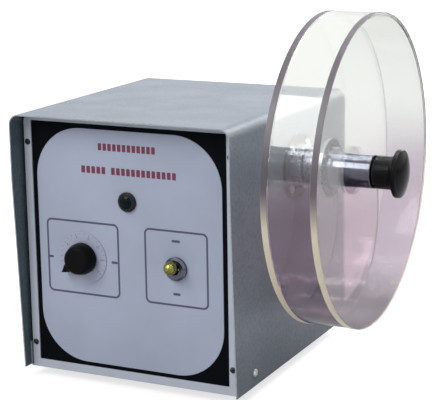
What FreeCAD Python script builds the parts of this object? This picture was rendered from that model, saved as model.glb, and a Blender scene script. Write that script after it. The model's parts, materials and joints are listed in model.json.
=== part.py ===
import FreeCAD, Part
import os
import re
import Sketcher
from FreeCAD import Placement, Rotation, Vector

# A friability tester: a sheet-metal cabinet with a hooded control panel, and a clear drum that a
# geared motor turns on its right-hand side. Millimetres, +Z up, +X towards the drum, -Y to the front.
# The origin lies on the bench, under the middle of the tester's bounding box, and the drum's axis
# lies in the plane Y = 0.

doc = FreeCAD.newDocument("friability_tester")

# Driving sizes: name, value, meaning
SIZES = [
    # Cabinet
    ("cabinet_width", 226.0, "outside width of the cover"),
    ("cabinet_height", 248.8, "underside of the tray to the top of the cover"),
    ("cabinet_depth", 234.7, "front flange to rear wall"),
    ("axis_back", 119.7, "drum axis behind the front flange"),
    ("sheet", 1.2, "thickness of the folded steel sheet"),
    ("cover_gap", 0.2, "clearance between the tray and the cover"),
    ("cover_corner", 10.0, "outside radius of the cover's two top bends"),
    ("cover_lift", 1.0, "height of the cover's lower edge above the tray's underside"),
    ("hood_top", 18.3, "how far the hood stands in front of the flange at the top"),
    ("hood_bottom", 9.2, "how far it stands in front at its lower end"),
    ("hood_kink", 188.8, "height where the hood's side edge begins to slant back"),
    ("fold_radius", 2.0, "outside radius of the tray's folds"),
    ("flange_side", 10.55, "inner edge of the front flange in from the tray's side"),
    ("flange_gap", 2.9, "outer edge of the front flange in from the tray's side"),
    ("flange_bottom", 8.0, "height of the front flange at the bottom"),
    ("flange_top", 6.0, "height of the front flange at the top"),
    ("lip_height", 24.0, "height of the tray's side lips"),
    ("foot_height", 9.2, "height of a rubber foot"),
    ("foot_radius", 11.0, "radius of a foot on the bench"),
    ("foot_top_radius", 12.5, "radius of a foot under the tray"),
    ("foot_inset", 38.0, "foot axis in from the cabinet's sides, front and rear"),
    ("foot_cup", 4.5, "depth of the recess for the screw head in a foot"),
    ("foot_cup_radius", 5.0, "radius of that recess"),
    # Front panel
    ("panel_thickness", 2.0, "black panel"),
    ("panel_clearance", 0.5, "gap round the edge of the black panel"),
    ("label_side", 4.95, "gap between the label plate and the flange at the sides"),
    ("label_foot", 4.0, "gap between the label plate and the flange at the bottom"),
    ("label_head", 4.6, "gap between the label plate and the flange at the top"),
    ("label_corner", 48.0, "corner radius of the label plate"),
    ("label_thickness", 0.8, "pale label plate"),
    ("control_height", 113.75, "timer and switch above the tray's underside"),
    ("control_offset", 49.0, "timer and switch left and right of the middle"),
    ("lamp_height", 171.5, "pilot lamp above the tray's underside"),
    ("panel_screw_low", 24.8, "lower flange screws above the tray's underside"),
    ("panel_screw_top", 26.8, "upper flange screws below the tray's top edge"),
    ("panel_screw_edge", 6.7, "flange screws in from the tray's edge"),
    # Screws and nuts
    ("four_shank", 2.0, "shank radius of an M4 screw"),
    ("four_head", 3.9, "head radius of an M4 screw"),
    ("four_head_height", 2.6, "head height of an M4 screw"),
    ("four_nut", 4.05, "corner radius of an M4 nut"),
    ("four_nut_height", 3.2, "height of an M4 nut"),
    ("three_shank", 1.5, "shank radius of an M3 screw"),
    ("three_head", 2.8, "head radius of an M3 screw"),
    ("three_head_height", 2.0, "head height of an M3 screw"),
    ("three_nut", 3.2, "corner radius of an M3 nut"),
    ("three_nut_height", 2.4, "height of an M3 nut"),
    ("thread_fit", 0.05, "gap between a shank and its thread"),
    ("hole_gap", 0.25, "gap between a shank and a clearance hole"),
    ("thread_show", 1.0, "thread that stands out past a nut"),
    ("slot_width", 1.0, "screwdriver slot"),
    ("slot_depth", 1.0, "screwdriver slot"),
    ("side_screw_height", 14.0, "cover screws above the tray's underside"),
    ("side_screw_inset", 24.0, "cover screws in from the front flange and the rear wall"),
    # Drum
    ("axis_height", 191.8, "drum axis above the tray's underside"),
    ("drum_gap", 32.0, "cabinet wall to the drum's back disc"),
    ("disc_thickness", 6.0, "each acrylic disc"),
    ("drum_depth", 40.0, "inside depth of the drum"),
    ("drum_radius", 143.5, "inside radius of the drum"),
    ("rim_wall", 2.5, "acrylic rim"),
    ("disc_lip", 0.5, "how far the discs stand out past the rim"),
    ("baffle_radius", 80.5, "inside radius of the curved lifting vane"),
    ("baffle_thickness", 3.0, "curved lifting vane"),
    ("baffle_angle", 207.0, "direction of the vane's centre of curvature, from +Y towards +Z"),
    ("baffle_spare", 10.0, "angle of the vane's band past the rim, before it is trimmed"),
    ("baffle_gap", 0.3, "gap between the vane and the removable cover disc"),
    ("hub_radius", 16.0, "sleeve in the middle of the drum"),
    ("hub_flange_radius", 20.0, "flange of the sleeve on the back disc"),
    ("hub_flange", 3.0, "thickness of that flange"),
    ("seat_radius", 6.0, "shaft where the drum sits on it"),
    ("stud_radius", 5.0, "threaded end of the shaft"),
    ("stud_reach", 13.0, "thread that reaches past the washer into the knob"),
    ("seat_fit", 0.05, "gap between the shaft and the bores on it"),
    ("stud_gap", 0.3, "gap between the thread and the cover disc"),
    ("washer_thickness", 1.0, "rubber washer under the knob"),
    ("washer_radius", 14.0, "rubber washer under the knob"),
    ("knob_length", 28.5, "clamp knob from its foot to its crown"),
    ("knob_neck_length", 15.0, "neck of the clamp knob up to the flare"),
    ("knob_neck_radius", 15.5, "neck of the clamp knob"),
    ("knob_head_radius", 22.5, "head of the clamp knob"),
    ("knob_flare", 4.5, "length of the flare under the head"),
    ("knob_rim", 4.5, "straight rim of the head"),
    ("knob_edge", 2.0, "rounded edge of the head"),
    ("insert_radius", 7.5, "brass insert in the clamp knob"),
    ("insert_length", 14.0, "brass insert in the clamp knob"),
    ("insert_gap", 0.1, "gap between the thread and the insert"),
    # Bearing housing and shaft
    ("boss_radius", 18.0, "metal boss behind the drum"),
    ("boss_flange_radius", 28.0, "flange of the boss on the back disc"),
    ("boss_flange", 4.0, "thickness of that flange"),
    ("boss_gap", 1.0, "gap between the boss and the bearing housing"),
    ("housing_radius", 21.0, "bearing housing"),
    ("housing_nose", 12.0, "how far the housing stands out of the cabinet"),
    ("housing_tail", 26.0, "housing behind its flange"),
    ("housing_flange", 6.0, "thickness of the housing's flange"),
    ("ring_radius", 31.0, "housing flange, spacer and outside ring"),
    ("ring_thickness", 3.0, "black ring on the outside of the wall"),
    ("ring_gap", 0.3, "gap between the housing and what it passes through"),
    ("ring_screw_circle", 26.0, "radius of the circle of the housing screws"),
    ("web_gap", 0.2, "clearance between the drive frame and the tray's lip"),
    ("bearing_bore", 7.5, "bore radius of a ball bearing"),
    ("bearing_radius", 17.5, "outside radius of a ball bearing"),
    ("bearing_width", 11.0, "width of a ball bearing"),
    ("bearing_pitch", 12.5, "radius of the ring of balls"),
    ("bearing_inset", 1.0, "how deep each bearing sits in its mouth of the housing"),
    ("bearing_lip", 1.0, "height of the shoulder behind each bearing"),
    ("nose_chamfer", 1.0, "chamfer of the housing's nose"),
    ("ring_height", 3.4, "height of each bearing ring"),
    ("ball_radius", 3.2, "bearing ball"),
    ("ball_gap", 0.1, "gap between a ball and its races"),
    ("journal_overhang", 12.0, "bearing journal behind the housing"),
    ("shaft_tail_radius", 5.0, "thin rear end of the shaft"),
    ("shaft_tail", 18.0, "length of that end"),
    # Drive frame and motor
    ("web", 2.5, "thickness of the drive frame's sheet"),
    ("frame_depth", 84.0, "drive frame from front to rear"),
    ("frame_rise", 38.0, "underside of the frame's top above the drum axis"),
    ("frame_foot", 22.0, "width of the frame's foot flanges"),
    ("frame_bend", 4.0, "outside radius of the frame's bends"),
    ("window_width", 44.0, "lightening window in the frame"),
    ("window_low", 45.0, "lower edge of the window above the tray's floor"),
    ("window_high", 50.0, "upper edge of the window below the drum axis"),
    ("window_corner", 8.0, "corner radius of the window"),
    ("frame_screw_spread", 60.0, "distance between the frame's screws along Y"),
    ("coupling_radius", 13.0, "shaft coupling"),
    ("coupling_length", 30.0, "shaft coupling"),
    ("coupling_gap", 2.0, "coupling clear of the journal"),
    ("coupling_room", 6.0, "coupling clear of the motor's web"),
    ("gear_width", 60.0, "square gearhead and motor"),
    ("gear_corner", 8.0, "corner radius of the gearhead"),
    ("gear_length", 34.0, "gearhead"),
    ("gear_offset", 10.0, "gearhead's middle below its output shaft"),
    ("gear_boss_radius", 12.0, "locating boss of the gearhead"),
    ("gear_screw_half", 24.0, "half the spacing of the gearhead's screws"),
    ("gear_bore_gap", 0.3, "gap between the output shaft and the gearhead"),
    ("gear_shaft_depth", 20.0, "output shaft inside the gearhead"),
    ("motor_length", 68.0, "motor"),
    ("motor_radius", 28.5, "round body of the motor"),
    ("motor_cap", 9.0, "each end plate of the motor"),
    # Timer
    ("dial_radius", 25.0, "timer dial"),
    ("dial_thickness", 0.8, "timer dial"),
    ("timer_width", 50.0, "timer case"),
    ("timer_depth", 38.0, "timer case"),
    ("timer_bush_radius", 4.75, "threaded bush of the timer"),
    ("timer_bush", 4.2, "bush in front of the label"),
    ("timer_nut_radius", 8.0, "corner radius of the timer's nut"),
    ("timer_nut_height", 2.5, "height of the timer's nut"),
    ("spindle_radius", 3.0, "timer spindle"),
    ("spindle_gap", 0.1, "gap between the spindle and the bush"),
    ("spindle_length", 14.0, "spindle in front of the label"),
    ("spindle_depth", 20.0, "spindle behind the label"),
    ("knob_float", 0.8, "timer knob clear of the dial"),
    ("timer_knob_radius", 15.0, "timer knob"),
    ("timer_knob_top", 13.0, "crown radius of the timer knob"),
    ("timer_knob_height", 15.0, "crown of the timer knob above the label"),
    ("timer_knob_recess", 9.5, "recess under the timer knob"),
    ("timer_knob_roof", 6.5, "top of that recess above the label"),
    ("pointer_reach", 23.0, "tip of the pointer from the timer's axis"),
    ("pointer_half", 6.5, "half the width of the pointer at its root"),
    ("pointer_height", 8.0, "height of the pointer"),
    ("pointer_angle", 216.0, "direction of the pointer at rest, from +X towards +Z"),
    # Switch
    ("switch_width", 16.0, "toggle switch case"),
    ("switch_tall", 30.0, "toggle switch case"),
    ("switch_depth", 26.0, "toggle switch case"),
    ("switch_bush_radius", 6.5, "threaded bush of the switch"),
    ("switch_bush", 5.0, "bush in front of the label"),
    ("switch_bore", 5.2, "bore of the bush"),
    ("switch_bore_depth", 7.0, "bore behind the label"),
    ("switch_nut_radius", 11.0, "round dress nut"),
    ("switch_nut_height", 4.5, "round dress nut"),
    ("switch_nut_slope", 2.0, "chamfer of the dress nut"),
    ("lever_pivot", 3.0, "pivot of the lever in front of the label"),
    ("lever_root", 3.6, "ball at the lever's pivot"),
    ("lever_neck", 1.9, "lever's thinnest radius"),
    ("lever_tip", 6.2, "radius of the ball at the lever's end"),
    ("lever_length", 15.6, "pivot to the end of the lever"),
    ("lever_tail", 6.0, "lever behind its pivot"),
    ("lever_tail_radius", 1.5, "lever behind its pivot"),
    ("lever_tilt", 20.0, "tilt of the lever either way"),
    ("lever_pin", 0.8, "radius of the lever's pivot pin"),
    ("pin_gap", 0.1, "gap between that pin and the lever"),
    # Pilot lamp
    ("bezel_radius", 9.2, "lamp bezel"),
    ("bezel_height", 3.2, "lamp bezel"),
    ("lens_radius", 6.0, "lamp lens"),
    ("lens_height", 5.0, "lamp lens in front of the label"),
    ("lamp_body_radius", 5.6, "lamp holder behind the label"),
    ("lamp_body_depth", 28.0, "lamp holder behind the label"),
    # Rear wall
    ("inlet_inset", 55.0, "mains inlet in from the cabinet's left side"),
    ("rear_height", 44.8, "inlet and fuse above the tray's underside"),
    ("inlet_width", 50.0, "flange of the inlet"),
    ("inlet_tall", 24.0, "flange of the inlet"),
    ("inlet_flange", 3.0, "thickness of the inlet's flange"),
    ("inlet_corner", 3.0, "corner radius of the inlet's flange"),
    ("inlet_body_width", 28.0, "inlet behind the wall"),
    ("inlet_body_tall", 21.0, "inlet behind the wall"),
    ("inlet_body_depth", 18.0, "inlet behind the wall"),
    ("socket_width", 24.4, "mouth of the inlet"),
    ("socket_tall", 16.6, "mouth of the inlet"),
    ("socket_corner", 3.5, "corner radius of the mouth"),
    ("socket_floor", 2.0, "floor of the inlet"),
    ("inlet_screw_half", 20.0, "half the spacing of the inlet's screws"),
    ("blade_width", 4.0, "inlet blade"),
    ("blade_thick", 2.0, "inlet blade"),
    ("blade_spread", 7.0, "outer blades from the middle"),
    ("blade_drop", 2.0, "outer blades below the middle, and the earth blade above it"),
    ("blade_tag", 6.0, "solder tags behind the inlet"),
    ("fuse_pitch", 50.0, "from the mains inlet to the fuse holder"),
    ("fuse_flange_radius", 8.0, "flange of the fuse holder"),
    ("fuse_flange", 2.0, "thickness of that flange"),
    ("fuse_barrel", 6.2, "barrel of the fuse holder"),
    ("fuse_depth", 34.0, "barrel behind the wall"),
    ("fuse_bore", 4.2, "bore of the fuse holder"),
    ("fuse_cap_radius", 6.2, "fuse cap"),
    ("fuse_cap_height", 8.0, "fuse cap"),
    ("fuse_stem_radius", 3.8, "stem of the fuse cap"),
    ("fuse_stem", 6.0, "stem behind the wall"),
    ("fuse_radius", 2.6, "end caps of the fuse"),
    ("fuse_length", 20.0, "fuse"),
    ("vent_length", 56.0, "vent slot"),
    ("vent_height", 4.0, "vent slot"),
    ("vent_pitch", 10.0, "vent slots from one to the next"),
    ("vent_low", 120.0, "lowest vent slot above the tray's underside"),
    ("vent_offset", 46.0, "each column of vents from the middle"),
    ("vent_count", 8.0, "vent slots in a column"),
    # Electrical pieces on the floor
    ("strip_inset", 35.0, "terminal strip in from the cabinet's left side"),
    ("strip_back", 52.0, "terminal strip behind the drum axis"),
    ("strip_length", 58.0, "terminal strip"),
    ("strip_width", 17.0, "terminal strip"),
    ("strip_height", 14.0, "terminal strip"),
    ("strip_pitch", 9.0, "terminals from one to the next"),
    ("strip_ways", 6.0, "terminals in the strip"),
    ("capacitor_inset", 35.0, "capacitor in from the cabinet's left side"),
    ("capacitor_front", 46.0, "capacitor in front of the drum axis"),
    ("capacitor_radius", 15.0, "motor capacitor"),
    ("capacitor_height", 58.0, "motor capacitor"),
    ("clip_wall", 1.0, "capacitor clip"),
    ("clip_height", 14.0, "capacitor clip"),
]

# Sizes and places that follow from the driving sizes: name, formula
PLACES = [
    ("drum_thickness", "2 * disc_thickness + drum_depth"),
    ("knob_end", "cabinet_width / 2 + drum_gap + drum_thickness + washer_thickness + knob_length"),
    ("screw_end", "cabinet_width / 2 + four_head_height"),
    ("cab_x", "(screw_end - knob_end) / 2"),
    ("wall_x", "cab_x + cabinet_width / 2"),
    ("floor_z", "foot_height"),
    ("axis_z", "floor_z + axis_height"),
    ("front_y", "-axis_back"),
    ("rear_y", "cabinet_depth - axis_back"),
    ("tray_width", "cabinet_width - 2 * (sheet + cover_gap)"),
    ("tray_height", "cabinet_height - sheet - cover_gap"),
    ("tray_corner", "cover_corner - sheet - cover_gap"),
    ("foot_x", "cabinet_width / 2 - foot_inset"),
    ("foot_y", "rear_y - foot_inset"),
    ("side_screw_y", "rear_y - side_screw_inset"),
    ("panel_y", "front_y + sheet"),
    ("label_y", "panel_y - label_thickness"),
    ("panel_back", "label_thickness + panel_thickness"),
    ("panel_screw_high", "tray_height - panel_screw_top"),
    ("label_width", "tray_width - 2 * (flange_side + label_side)"),
    ("label_low", "flange_bottom + label_foot"),
    ("label_height", "tray_height - flange_top - label_head - label_low"),
    ("panel_screw_x", "tray_width / 2 - panel_screw_edge"),
    ("timer_x", "cab_x - control_offset"),
    ("switch_x", "cab_x + control_offset"),
    ("control_z", "floor_z + control_height"),
    ("lamp_z", "floor_z + lamp_height"),
    ("drum_x", "wall_x + drum_gap"),
    ("rim_x", "drum_x + disc_thickness"),
    ("cover_disc_x", "rim_x + drum_depth"),
    ("washer_x", "cover_disc_x + disc_thickness"),
    ("knob_x", "washer_x + washer_thickness"),
    ("rim_radius", "drum_radius + rim_wall"),
    ("disc_radius", "rim_radius + disc_lip"),
    ("baffle_sweep", "2 * asin(drum_radius / (2 * baffle_radius)) / 1 deg + baffle_spare"),
    ("baffle_y", "baffle_radius * cos(baffle_angle)"),
    ("baffle_z", "baffle_radius * sin(baffle_angle)"),
    ("spacer_thickness", "cover_gap + sheet + web_gap"),
    ("web_x", "wall_x - sheet - spacer_thickness"),
    ("flange_x", "web_x - web"),
    ("housing_rear_x", "flange_x - housing_flange - housing_tail"),
    ("housing_front_x", "wall_x + housing_nose"),
    ("boss_x", "housing_front_x + boss_gap"),
    ("front_bearing_x", "housing_front_x - bearing_inset - bearing_width"),
    ("rear_bearing_x", "housing_rear_x + bearing_inset"),
    ("journal_x", "housing_rear_x - journal_overhang"),
    ("coupling_x", "journal_x - coupling_gap - coupling_length"),
    ("motor_web_x", "coupling_x - coupling_room"),
    ("gear_x", "motor_web_x - web"),
    ("motor_x", "gear_x - gear_length"),
    ("tray_floor_z", "floor_z + sheet"),
    ("frame_height", "axis_z + frame_rise + web - tray_floor_z"),
    ("frame_span", "web_x - gear_x"),
    ("ring_screw", "ring_screw_circle * cos(45)"),
    ("race_radius", "ball_radius + ball_gap"),
    ("inlet_x", "cab_x - cabinet_width / 2 + inlet_inset"),
    ("fuse_x", "inlet_x + fuse_pitch"),
    ("rear_z", "floor_z + rear_height"),
    ("strip_x", "cab_x - cabinet_width / 2 + strip_inset"),
    ("capacitor_x", "cab_x - cabinet_width / 2 + capacitor_inset"),
    ("frame_screw_inner", "web_x - web - frame_foot / 2"),
    ("frame_screw_outer", "gear_x - frame_foot / 2"),
]

SIZE_NAMES = {entry[0] for entry in SIZES}
PLACE_NAMES = {entry[0] for entry in PLACES}

# Turns that point a piece's own +Z at the viewer in front, at the back, to the right, left and down
FRONT = Rotation(Vector(1, 0, 0), 90)
REAR = Rotation(Vector(0, 0, 1), 180) * FRONT
RIGHT = Rotation(Vector(1, 1, 1), 120)
LEFT = Rotation(Vector(0, 0, 1), 180) * RIGHT
DOWN = Rotation(Vector(1, 0, 0), 180)
UP = Rotation()

NODES = []


def expand(formula):
    """A formula in plain names, with each name written as a reference to its sheet."""
    def refer(match):
        word = match.group(0)
        if word in SIZE_NAMES:
            return "Sizes." + word
        if word in PLACE_NAMES:
            return "Places." + word
        return word
    return re.sub(r"[a-z_][a-z_0-9]*", refer, formula)


def make_sheets():
    """The sheet of driving sizes and the sheet of what follows from them."""
    sizes = doc.addObject("Spreadsheet::Sheet", "Sizes")
    for row, (name, amount, meaning) in enumerate(SIZES, start=1):
        sizes.set(f"A{row}", name)
        sizes.set(f"B{row}", str(amount))
        sizes.set(f"C{row}", meaning)
        sizes.setAlias(f"B{row}", name)
    doc.recompute()
    places = doc.addObject("Spreadsheet::Sheet", "Places")
    for row, (name, formula) in enumerate(PLACES, start=1):
        places.set(f"A{row}", name)
        places.set(f"B{row}", "=" + expand(formula).replace("Places.", ""))
        places.setAlias(f"B{row}", name)
    doc.recompute()
    return sizes


sizes_sheet = make_sheets()


def number(formula):
    """The value of a formula, in millimetres or degrees."""
    return float(sizes_sheet.evalExpression(expand(formula)))


def bind(thing, field, formula):
    thing.setExpression(field, expand(formula))


def place(thing, spot, turn=UP):
    """Put a piece at a spot given by three formulas."""
    thing.Placement = Placement(Vector(*[number(part) for part in spot]), turn)
    for axis, part in zip("xyz", spot):
        bind(thing, f"Placement.Base.{axis}", part)


def new_body(name, spot, turn=UP, keep=True):
    """A body at a spot; a kept one is written out as a node of the same name."""
    body = doc.addObject("PartDesign::Body", name)
    body.Label = name
    place(body, spot, turn)
    if keep:
        NODES.append(body)
    return body


def sketch_on(body, plane, lift="0"):
    """An empty sketch on one of the body's own planes, lifted along that plane's normal."""
    support = [part for part in body.Origin.OriginFeatures if part.Role == plane + "_Plane"][0]
    sketch = body.newObject("Sketcher::SketchObject", f"{body.Name}_{plane.lower()}_sketch")
    sketch.AttachmentSupport = [(support, "")]
    sketch.MapMode = "FlatFace"
    bind(sketch, "AttachmentOffset.Base.z", lift)
    return sketch


def fix(sketch, kind, *ends, formula):
    """A dimension of the sketch, bound to a formula."""
    index = sketch.addConstraint(Sketcher.Constraint(kind, *ends, number(formula)))
    bind(sketch, f"Constraints[{index}]", formula)


def circle(sketch, across, up, radius):
    centre = Vector(number(across), number(up), 0)
    edge = sketch.addGeometry(Part.Circle(centre, Vector(0, 0, 1), number(radius)), False)
    fix(sketch, "DistanceX", -1, 1, edge, 3, formula=across)
    fix(sketch, "DistanceY", -1, 1, edge, 3, formula=up)
    fix(sketch, "Radius", edge, formula=radius)


def arc_between(start, end, radius, turn):
    """The short arc from start to end; turn is 1 anticlockwise and -1 clockwise."""
    chord = end - start
    reach = max(radius ** 2 - (chord.Length / 2) ** 2, 0.0) ** 0.5
    side = Vector(-chord.y, chord.x, 0).normalize() * reach * turn
    centre = (start + end) / 2 + side
    middle_way = ((start + end) / 2 - centre)
    if middle_way.Length < 1e-6:
        middle_way = -Vector(-chord.y, chord.x, 0) * turn
    middle = centre + middle_way.normalize() * radius
    return Part.Arc(start, middle, end)


def draw(sketch, stops):
    """A closed outline. A stop is (across, up), or (across, up, radius, turn) where an arc leaves it."""
    spots = [Vector(number(stop[0]), number(stop[1]), 0) for stop in stops]
    first = sketch.GeometryCount
    starts = []
    for index, stop in enumerate(stops):
        start = spots[index]
        end = spots[(index + 1) % len(stops)]
        if len(stop) == 2:
            sketch.addGeometry(Part.LineSegment(start, end), False)
            starts.append(1)
        else:
            sketch.addGeometry(arc_between(start, end, number(stop[2]), stop[3]), False)
            starts.append(1 if stop[3] > 0 else 2)
    for index, stop in enumerate(stops):
        edge = first + index
        before = first + (index - 1) % len(stops)
        before_end = 3 - starts[(index - 1) % len(stops)]
        sketch.addConstraint(Sketcher.Constraint("Coincident", before, before_end, edge, starts[index]))
        fix(sketch, "DistanceX", -1, 1, edge, starts[index], formula=stop[0])
        fix(sketch, "DistanceY", -1, 1, edge, starts[index], formula=stop[1])
        if len(stop) == 4:
            fix(sketch, "Radius", edge, formula=stop[2])


def toward(formula, difference, radius):
    """The formula moved by the radius to the side that the difference points at."""
    if abs(difference) < 1e-6:
        return formula
    sign = "+" if difference > 0 else "-"
    return f"{formula} {sign} ({radius})"


def outline(sketch, corners):
    """A closed outline of straight edges. A square corner with a third value is rounded by it."""
    spots = [(number(corner[0]), number(corner[1])) for corner in corners]
    stops = []
    for index, corner in enumerate(corners):
        if len(corner) == 2:
            stops.append(corner)
            continue
        across, up, radius = corner
        here = spots[index]
        before = spots[index - 1]
        after = spots[(index + 1) % len(corners)]
        came = (before[0] - here[0], before[1] - here[1])
        goes = (after[0] - here[0], after[1] - here[1])
        turn = 1 if -came[0] * goes[1] + came[1] * goes[0] > 0 else -1
        stops.append((toward(across, came[0], radius), toward(up, came[1], radius), radius, turn))
        stops.append((toward(across, goes[0], radius), toward(up, goes[1], radius)))
    draw(sketch, stops)


def box_outline(sketch, left, low, right, high, radius=None):
    corners = [(left, low), (right, low), (right, high), (left, high)]
    if radius:
        corners = [corner + (radius,) for corner in corners]
    outline(sketch, corners)


def pad(body, sketch, length, reverse=False, middle=False):
    feature = body.newObject("PartDesign::Pad", f"{body.Name}_pad")
    feature.Profile = sketch
    bind(feature, "Length", length)
    feature.Reversed = reverse
    if middle:
        feature.SideType = "Symmetric"
    body.Tip = feature
    return feature


def pocket(body, sketch, depth=None, reverse=False):
    """A cut against the sketch's normal, right through where no depth is given."""
    feature = body.newObject("PartDesign::Pocket", f"{body.Name}_pocket")
    feature.Profile = sketch
    if depth:
        bind(feature, "Length", depth)
    else:
        feature.Type = "ThroughAll"
    feature.Reversed = reverse
    body.Tip = feature
    return feature


def revolve(body, stops):
    """A turned piece: its half section stands upright, and the body's own Z is the axis."""
    sketch = sketch_on(body, "XZ")
    draw(sketch, stops)
    feature = body.newObject("PartDesign::Revolution", f"{body.Name}_turning")
    feature.Profile = sketch
    feature.ReferenceAxis = (sketch, ["V_Axis"])
    feature.Angle = 360
    body.Tip = feature
    return feature


def tube_stops(inner, outer, low, high):
    return [(inner, low), (outer, low), (outer, high), (inner, high)]


def group(name, master, spots):
    """One node of equal pieces: links to a master, each at its own spot and turn."""
    copies = []
    for index, (spot, turn) in enumerate(spots, start=1):
        copy = doc.addObject("App::Link", f"{name}_{index}")
        copy.LinkedObject = master
        place(copy, spot, turn)
        copies.append(copy)
    compound = doc.addObject("Part::Compound", name)
    compound.Label = name
    compound.Links = copies
    NODES.append(compound)


def make_screw(name, kind, length):
    """A slotted pan-head screw: the head stands on Z = 0 and the shank hangs below it."""
    body = new_body(name, ("0", "0", "0"), keep=False)
    revolve(body, [
        ("0", f"-({length})"), (f"{kind}_shank", f"-({length})"), (f"{kind}_shank", "0"),
        (f"{kind}_head", "0"), (f"{kind}_head", f"{kind}_head_height / 3"),
        (f"{kind}_head / 2", f"{kind}_head_height"), ("0", f"{kind}_head_height")])
    slot = sketch_on(body, "XY", f"{kind}_head_height")
    box_outline(slot, f"-{kind}_head", "-slot_width / 2", f"{kind}_head", "slot_width / 2")
    pocket(body, slot, "slot_depth")
    return body


def make_nut(name, corner, bore, height):
    """A hexagon nut that stands on Z = 0."""
    prism = doc.addObject("Part::Prism", f"{name}_prism")
    prism.Polygon = 6
    bind(prism, "Circumradius", corner)
    bind(prism, "Height", height)
    hole = doc.addObject("Part::Cylinder", f"{name}_hole")
    bind(hole, "Radius", bore)
    bind(hole, "Height", height)
    nut = doc.addObject("Part::Cut", name)
    nut.Base = prism
    nut.Tool = hole
    return nut


def four_corners(across, up):
    return [(f"{a}({across})", f"{b}({up})") for a in ("", "-") for b in ("", "-")]


# The cabinet

def upright(sketch, half):
    """Outline of a wall of the tray, with its top corners rounded to follow the cover."""
    outline(sketch, [
        (f"-{half}", "0", "fold_radius"), (half, "0", "fold_radius"),
        (half, "tray_height", "tray_corner"), (f"-{half}", "tray_height", "tray_corner")])


def make_base_tray():
    """Folded floor with side lips, front flange frame and rear wall."""
    body = new_body("base_tray", ("cab_x", "0", "floor_z"))
    half = "tray_width / 2"
    section = sketch_on(body, "XZ", "-front_y")
    outline(section, [
        (f"-{half}", "lip_height"), (f"-{half}", "0", "fold_radius"), (half, "0", "fold_radius"),
        (half, "lip_height"), (f"{half} - sheet", "lip_height"),
        (f"{half} - sheet", "sheet", "fold_radius - sheet"),
        (f"-{half} + sheet", "sheet", "fold_radius - sheet"), (f"-{half} + sheet", "lip_height")])
    pad(body, section, "cabinet_depth", reverse=True)

    frame = sketch_on(body, "XZ", "-front_y - sheet")
    upright(frame, f"({half} - flange_gap)")
    box_outline(frame, f"-{half} + flange_side", "flange_bottom", f"{half} - flange_side",
                "tray_height - flange_top")
    pad(body, frame, "sheet")

    wall = sketch_on(body, "XZ", "sheet - rear_y")
    upright(wall, half)
    box_outline(wall, "inlet_x - cab_x - inlet_body_width / 2 - hole_gap",
                "rear_height - inlet_body_tall / 2 - hole_gap",
                "inlet_x - cab_x + inlet_body_width / 2 + hole_gap",
                "rear_height + inlet_body_tall / 2 + hole_gap", "socket_floor")
    for side in ("-", "+"):
        circle(wall, f"inlet_x - cab_x {side} inlet_screw_half", "rear_height", "three_shank + hole_gap")
    circle(wall, "fuse_x - cab_x", "rear_height", "fuse_barrel + hole_gap")
    pad(body, wall, "sheet", reverse=True)

    vents = sketch_on(body, "XZ", "-rear_y")
    for side in ("-", ""):
        box_outline(vents, f"{side}vent_offset - vent_length / 2", "vent_low",
                    f"{side}vent_offset + vent_length / 2", "vent_low + vent_height",
                    "vent_height / 2 - thread_fit")
    cut = pocket(body, vents, "2 * sheet", reverse=True)
    rows = body.newObject("PartDesign::LinearPattern", "vent_rows")
    rows.Originals = [cut]
    rows.Direction = (vents, ["V_Axis"])
    bind(rows, "Length", "vent_pitch * (vent_count - 1)")
    bind(rows, "Occurrences", "vent_count")
    body.Tip = rows

    floor_holes = sketch_on(body, "XY", "sheet")
    for across, up in four_corners("foot_x", "foot_y"):
        circle(floor_holes, across, up, "four_shank + hole_gap")
    for across in ("frame_screw_inner - cab_x", "frame_screw_outer - cab_x"):
        for side in ("-", ""):
            circle(floor_holes, across, f"{side}frame_screw_spread / 2", "four_shank + hole_gap")
    pocket(body, floor_holes)

    flange_holes = sketch_on(body, "XZ", "-front_y")
    for side in ("-", ""):
        for up in ("panel_screw_low", "panel_screw_high"):
            circle(flange_holes, f"{side}panel_screw_x", up, "three_shank + hole_gap")
    pocket(body, flange_holes, "2 * sheet")

    lip_holes = sketch_on(body, "YZ", half)
    for side in ("-", ""):
        circle(lip_holes, f"{side}side_screw_y", "side_screw_height", "four_shank + hole_gap")
    pocket(body, lip_holes)


def make_cover():
    """Inverted U of sheet whose front stands out as a hood over the controls."""
    body = new_body("cover", ("cab_x", "0", "floor_z"))
    half = "cabinet_width / 2"
    inner = "cabinet_width / 2 - sheet"
    section = sketch_on(body, "XZ", "-rear_y")
    outline(section, [
        (f"-{half}", "cover_lift"), (f"-{half}", "cabinet_height", "cover_corner"),
        (half, "cabinet_height", "cover_corner"), (half, "cover_lift"), (inner, "cover_lift"),
        (inner, "cabinet_height - sheet", "cover_corner - sheet"),
        (f"-({inner})", "cabinet_height - sheet", "cover_corner - sheet"), (f"-({inner})", "cover_lift")])
    pad(body, section, "cabinet_depth + hood_top")

    slant = sketch_on(body, "YZ", f"{half} + sheet")
    draw(slant, [
        ("front_y - hood_top - sheet", "hood_kink"), ("front_y - hood_top", "hood_kink"),
        ("front_y - hood_bottom", "cover_lift"), ("front_y - hood_bottom", "cover_lift - sheet"),
        ("front_y - hood_top - sheet", "cover_lift - sheet")])
    pocket(body, slant)

    side_holes = sketch_on(body, "YZ", f"{half} + sheet")
    for side in ("-", ""):
        circle(side_holes, f"{side}side_screw_y", "side_screw_height", "four_shank + hole_gap")
    pocket(body, side_holes)

    wall_holes = sketch_on(body, "YZ", f"{half} + sheet")
    circle(wall_holes, "0", "axis_height", "housing_radius + ring_gap")
    for side in ("-", ""):
        for rise in ("-", "+"):
            circle(wall_holes, f"{side}ring_screw", f"axis_height {rise} ring_screw",
                   "four_shank + hole_gap")
    pocket(body, wall_holes, "3 * sheet")


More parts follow.
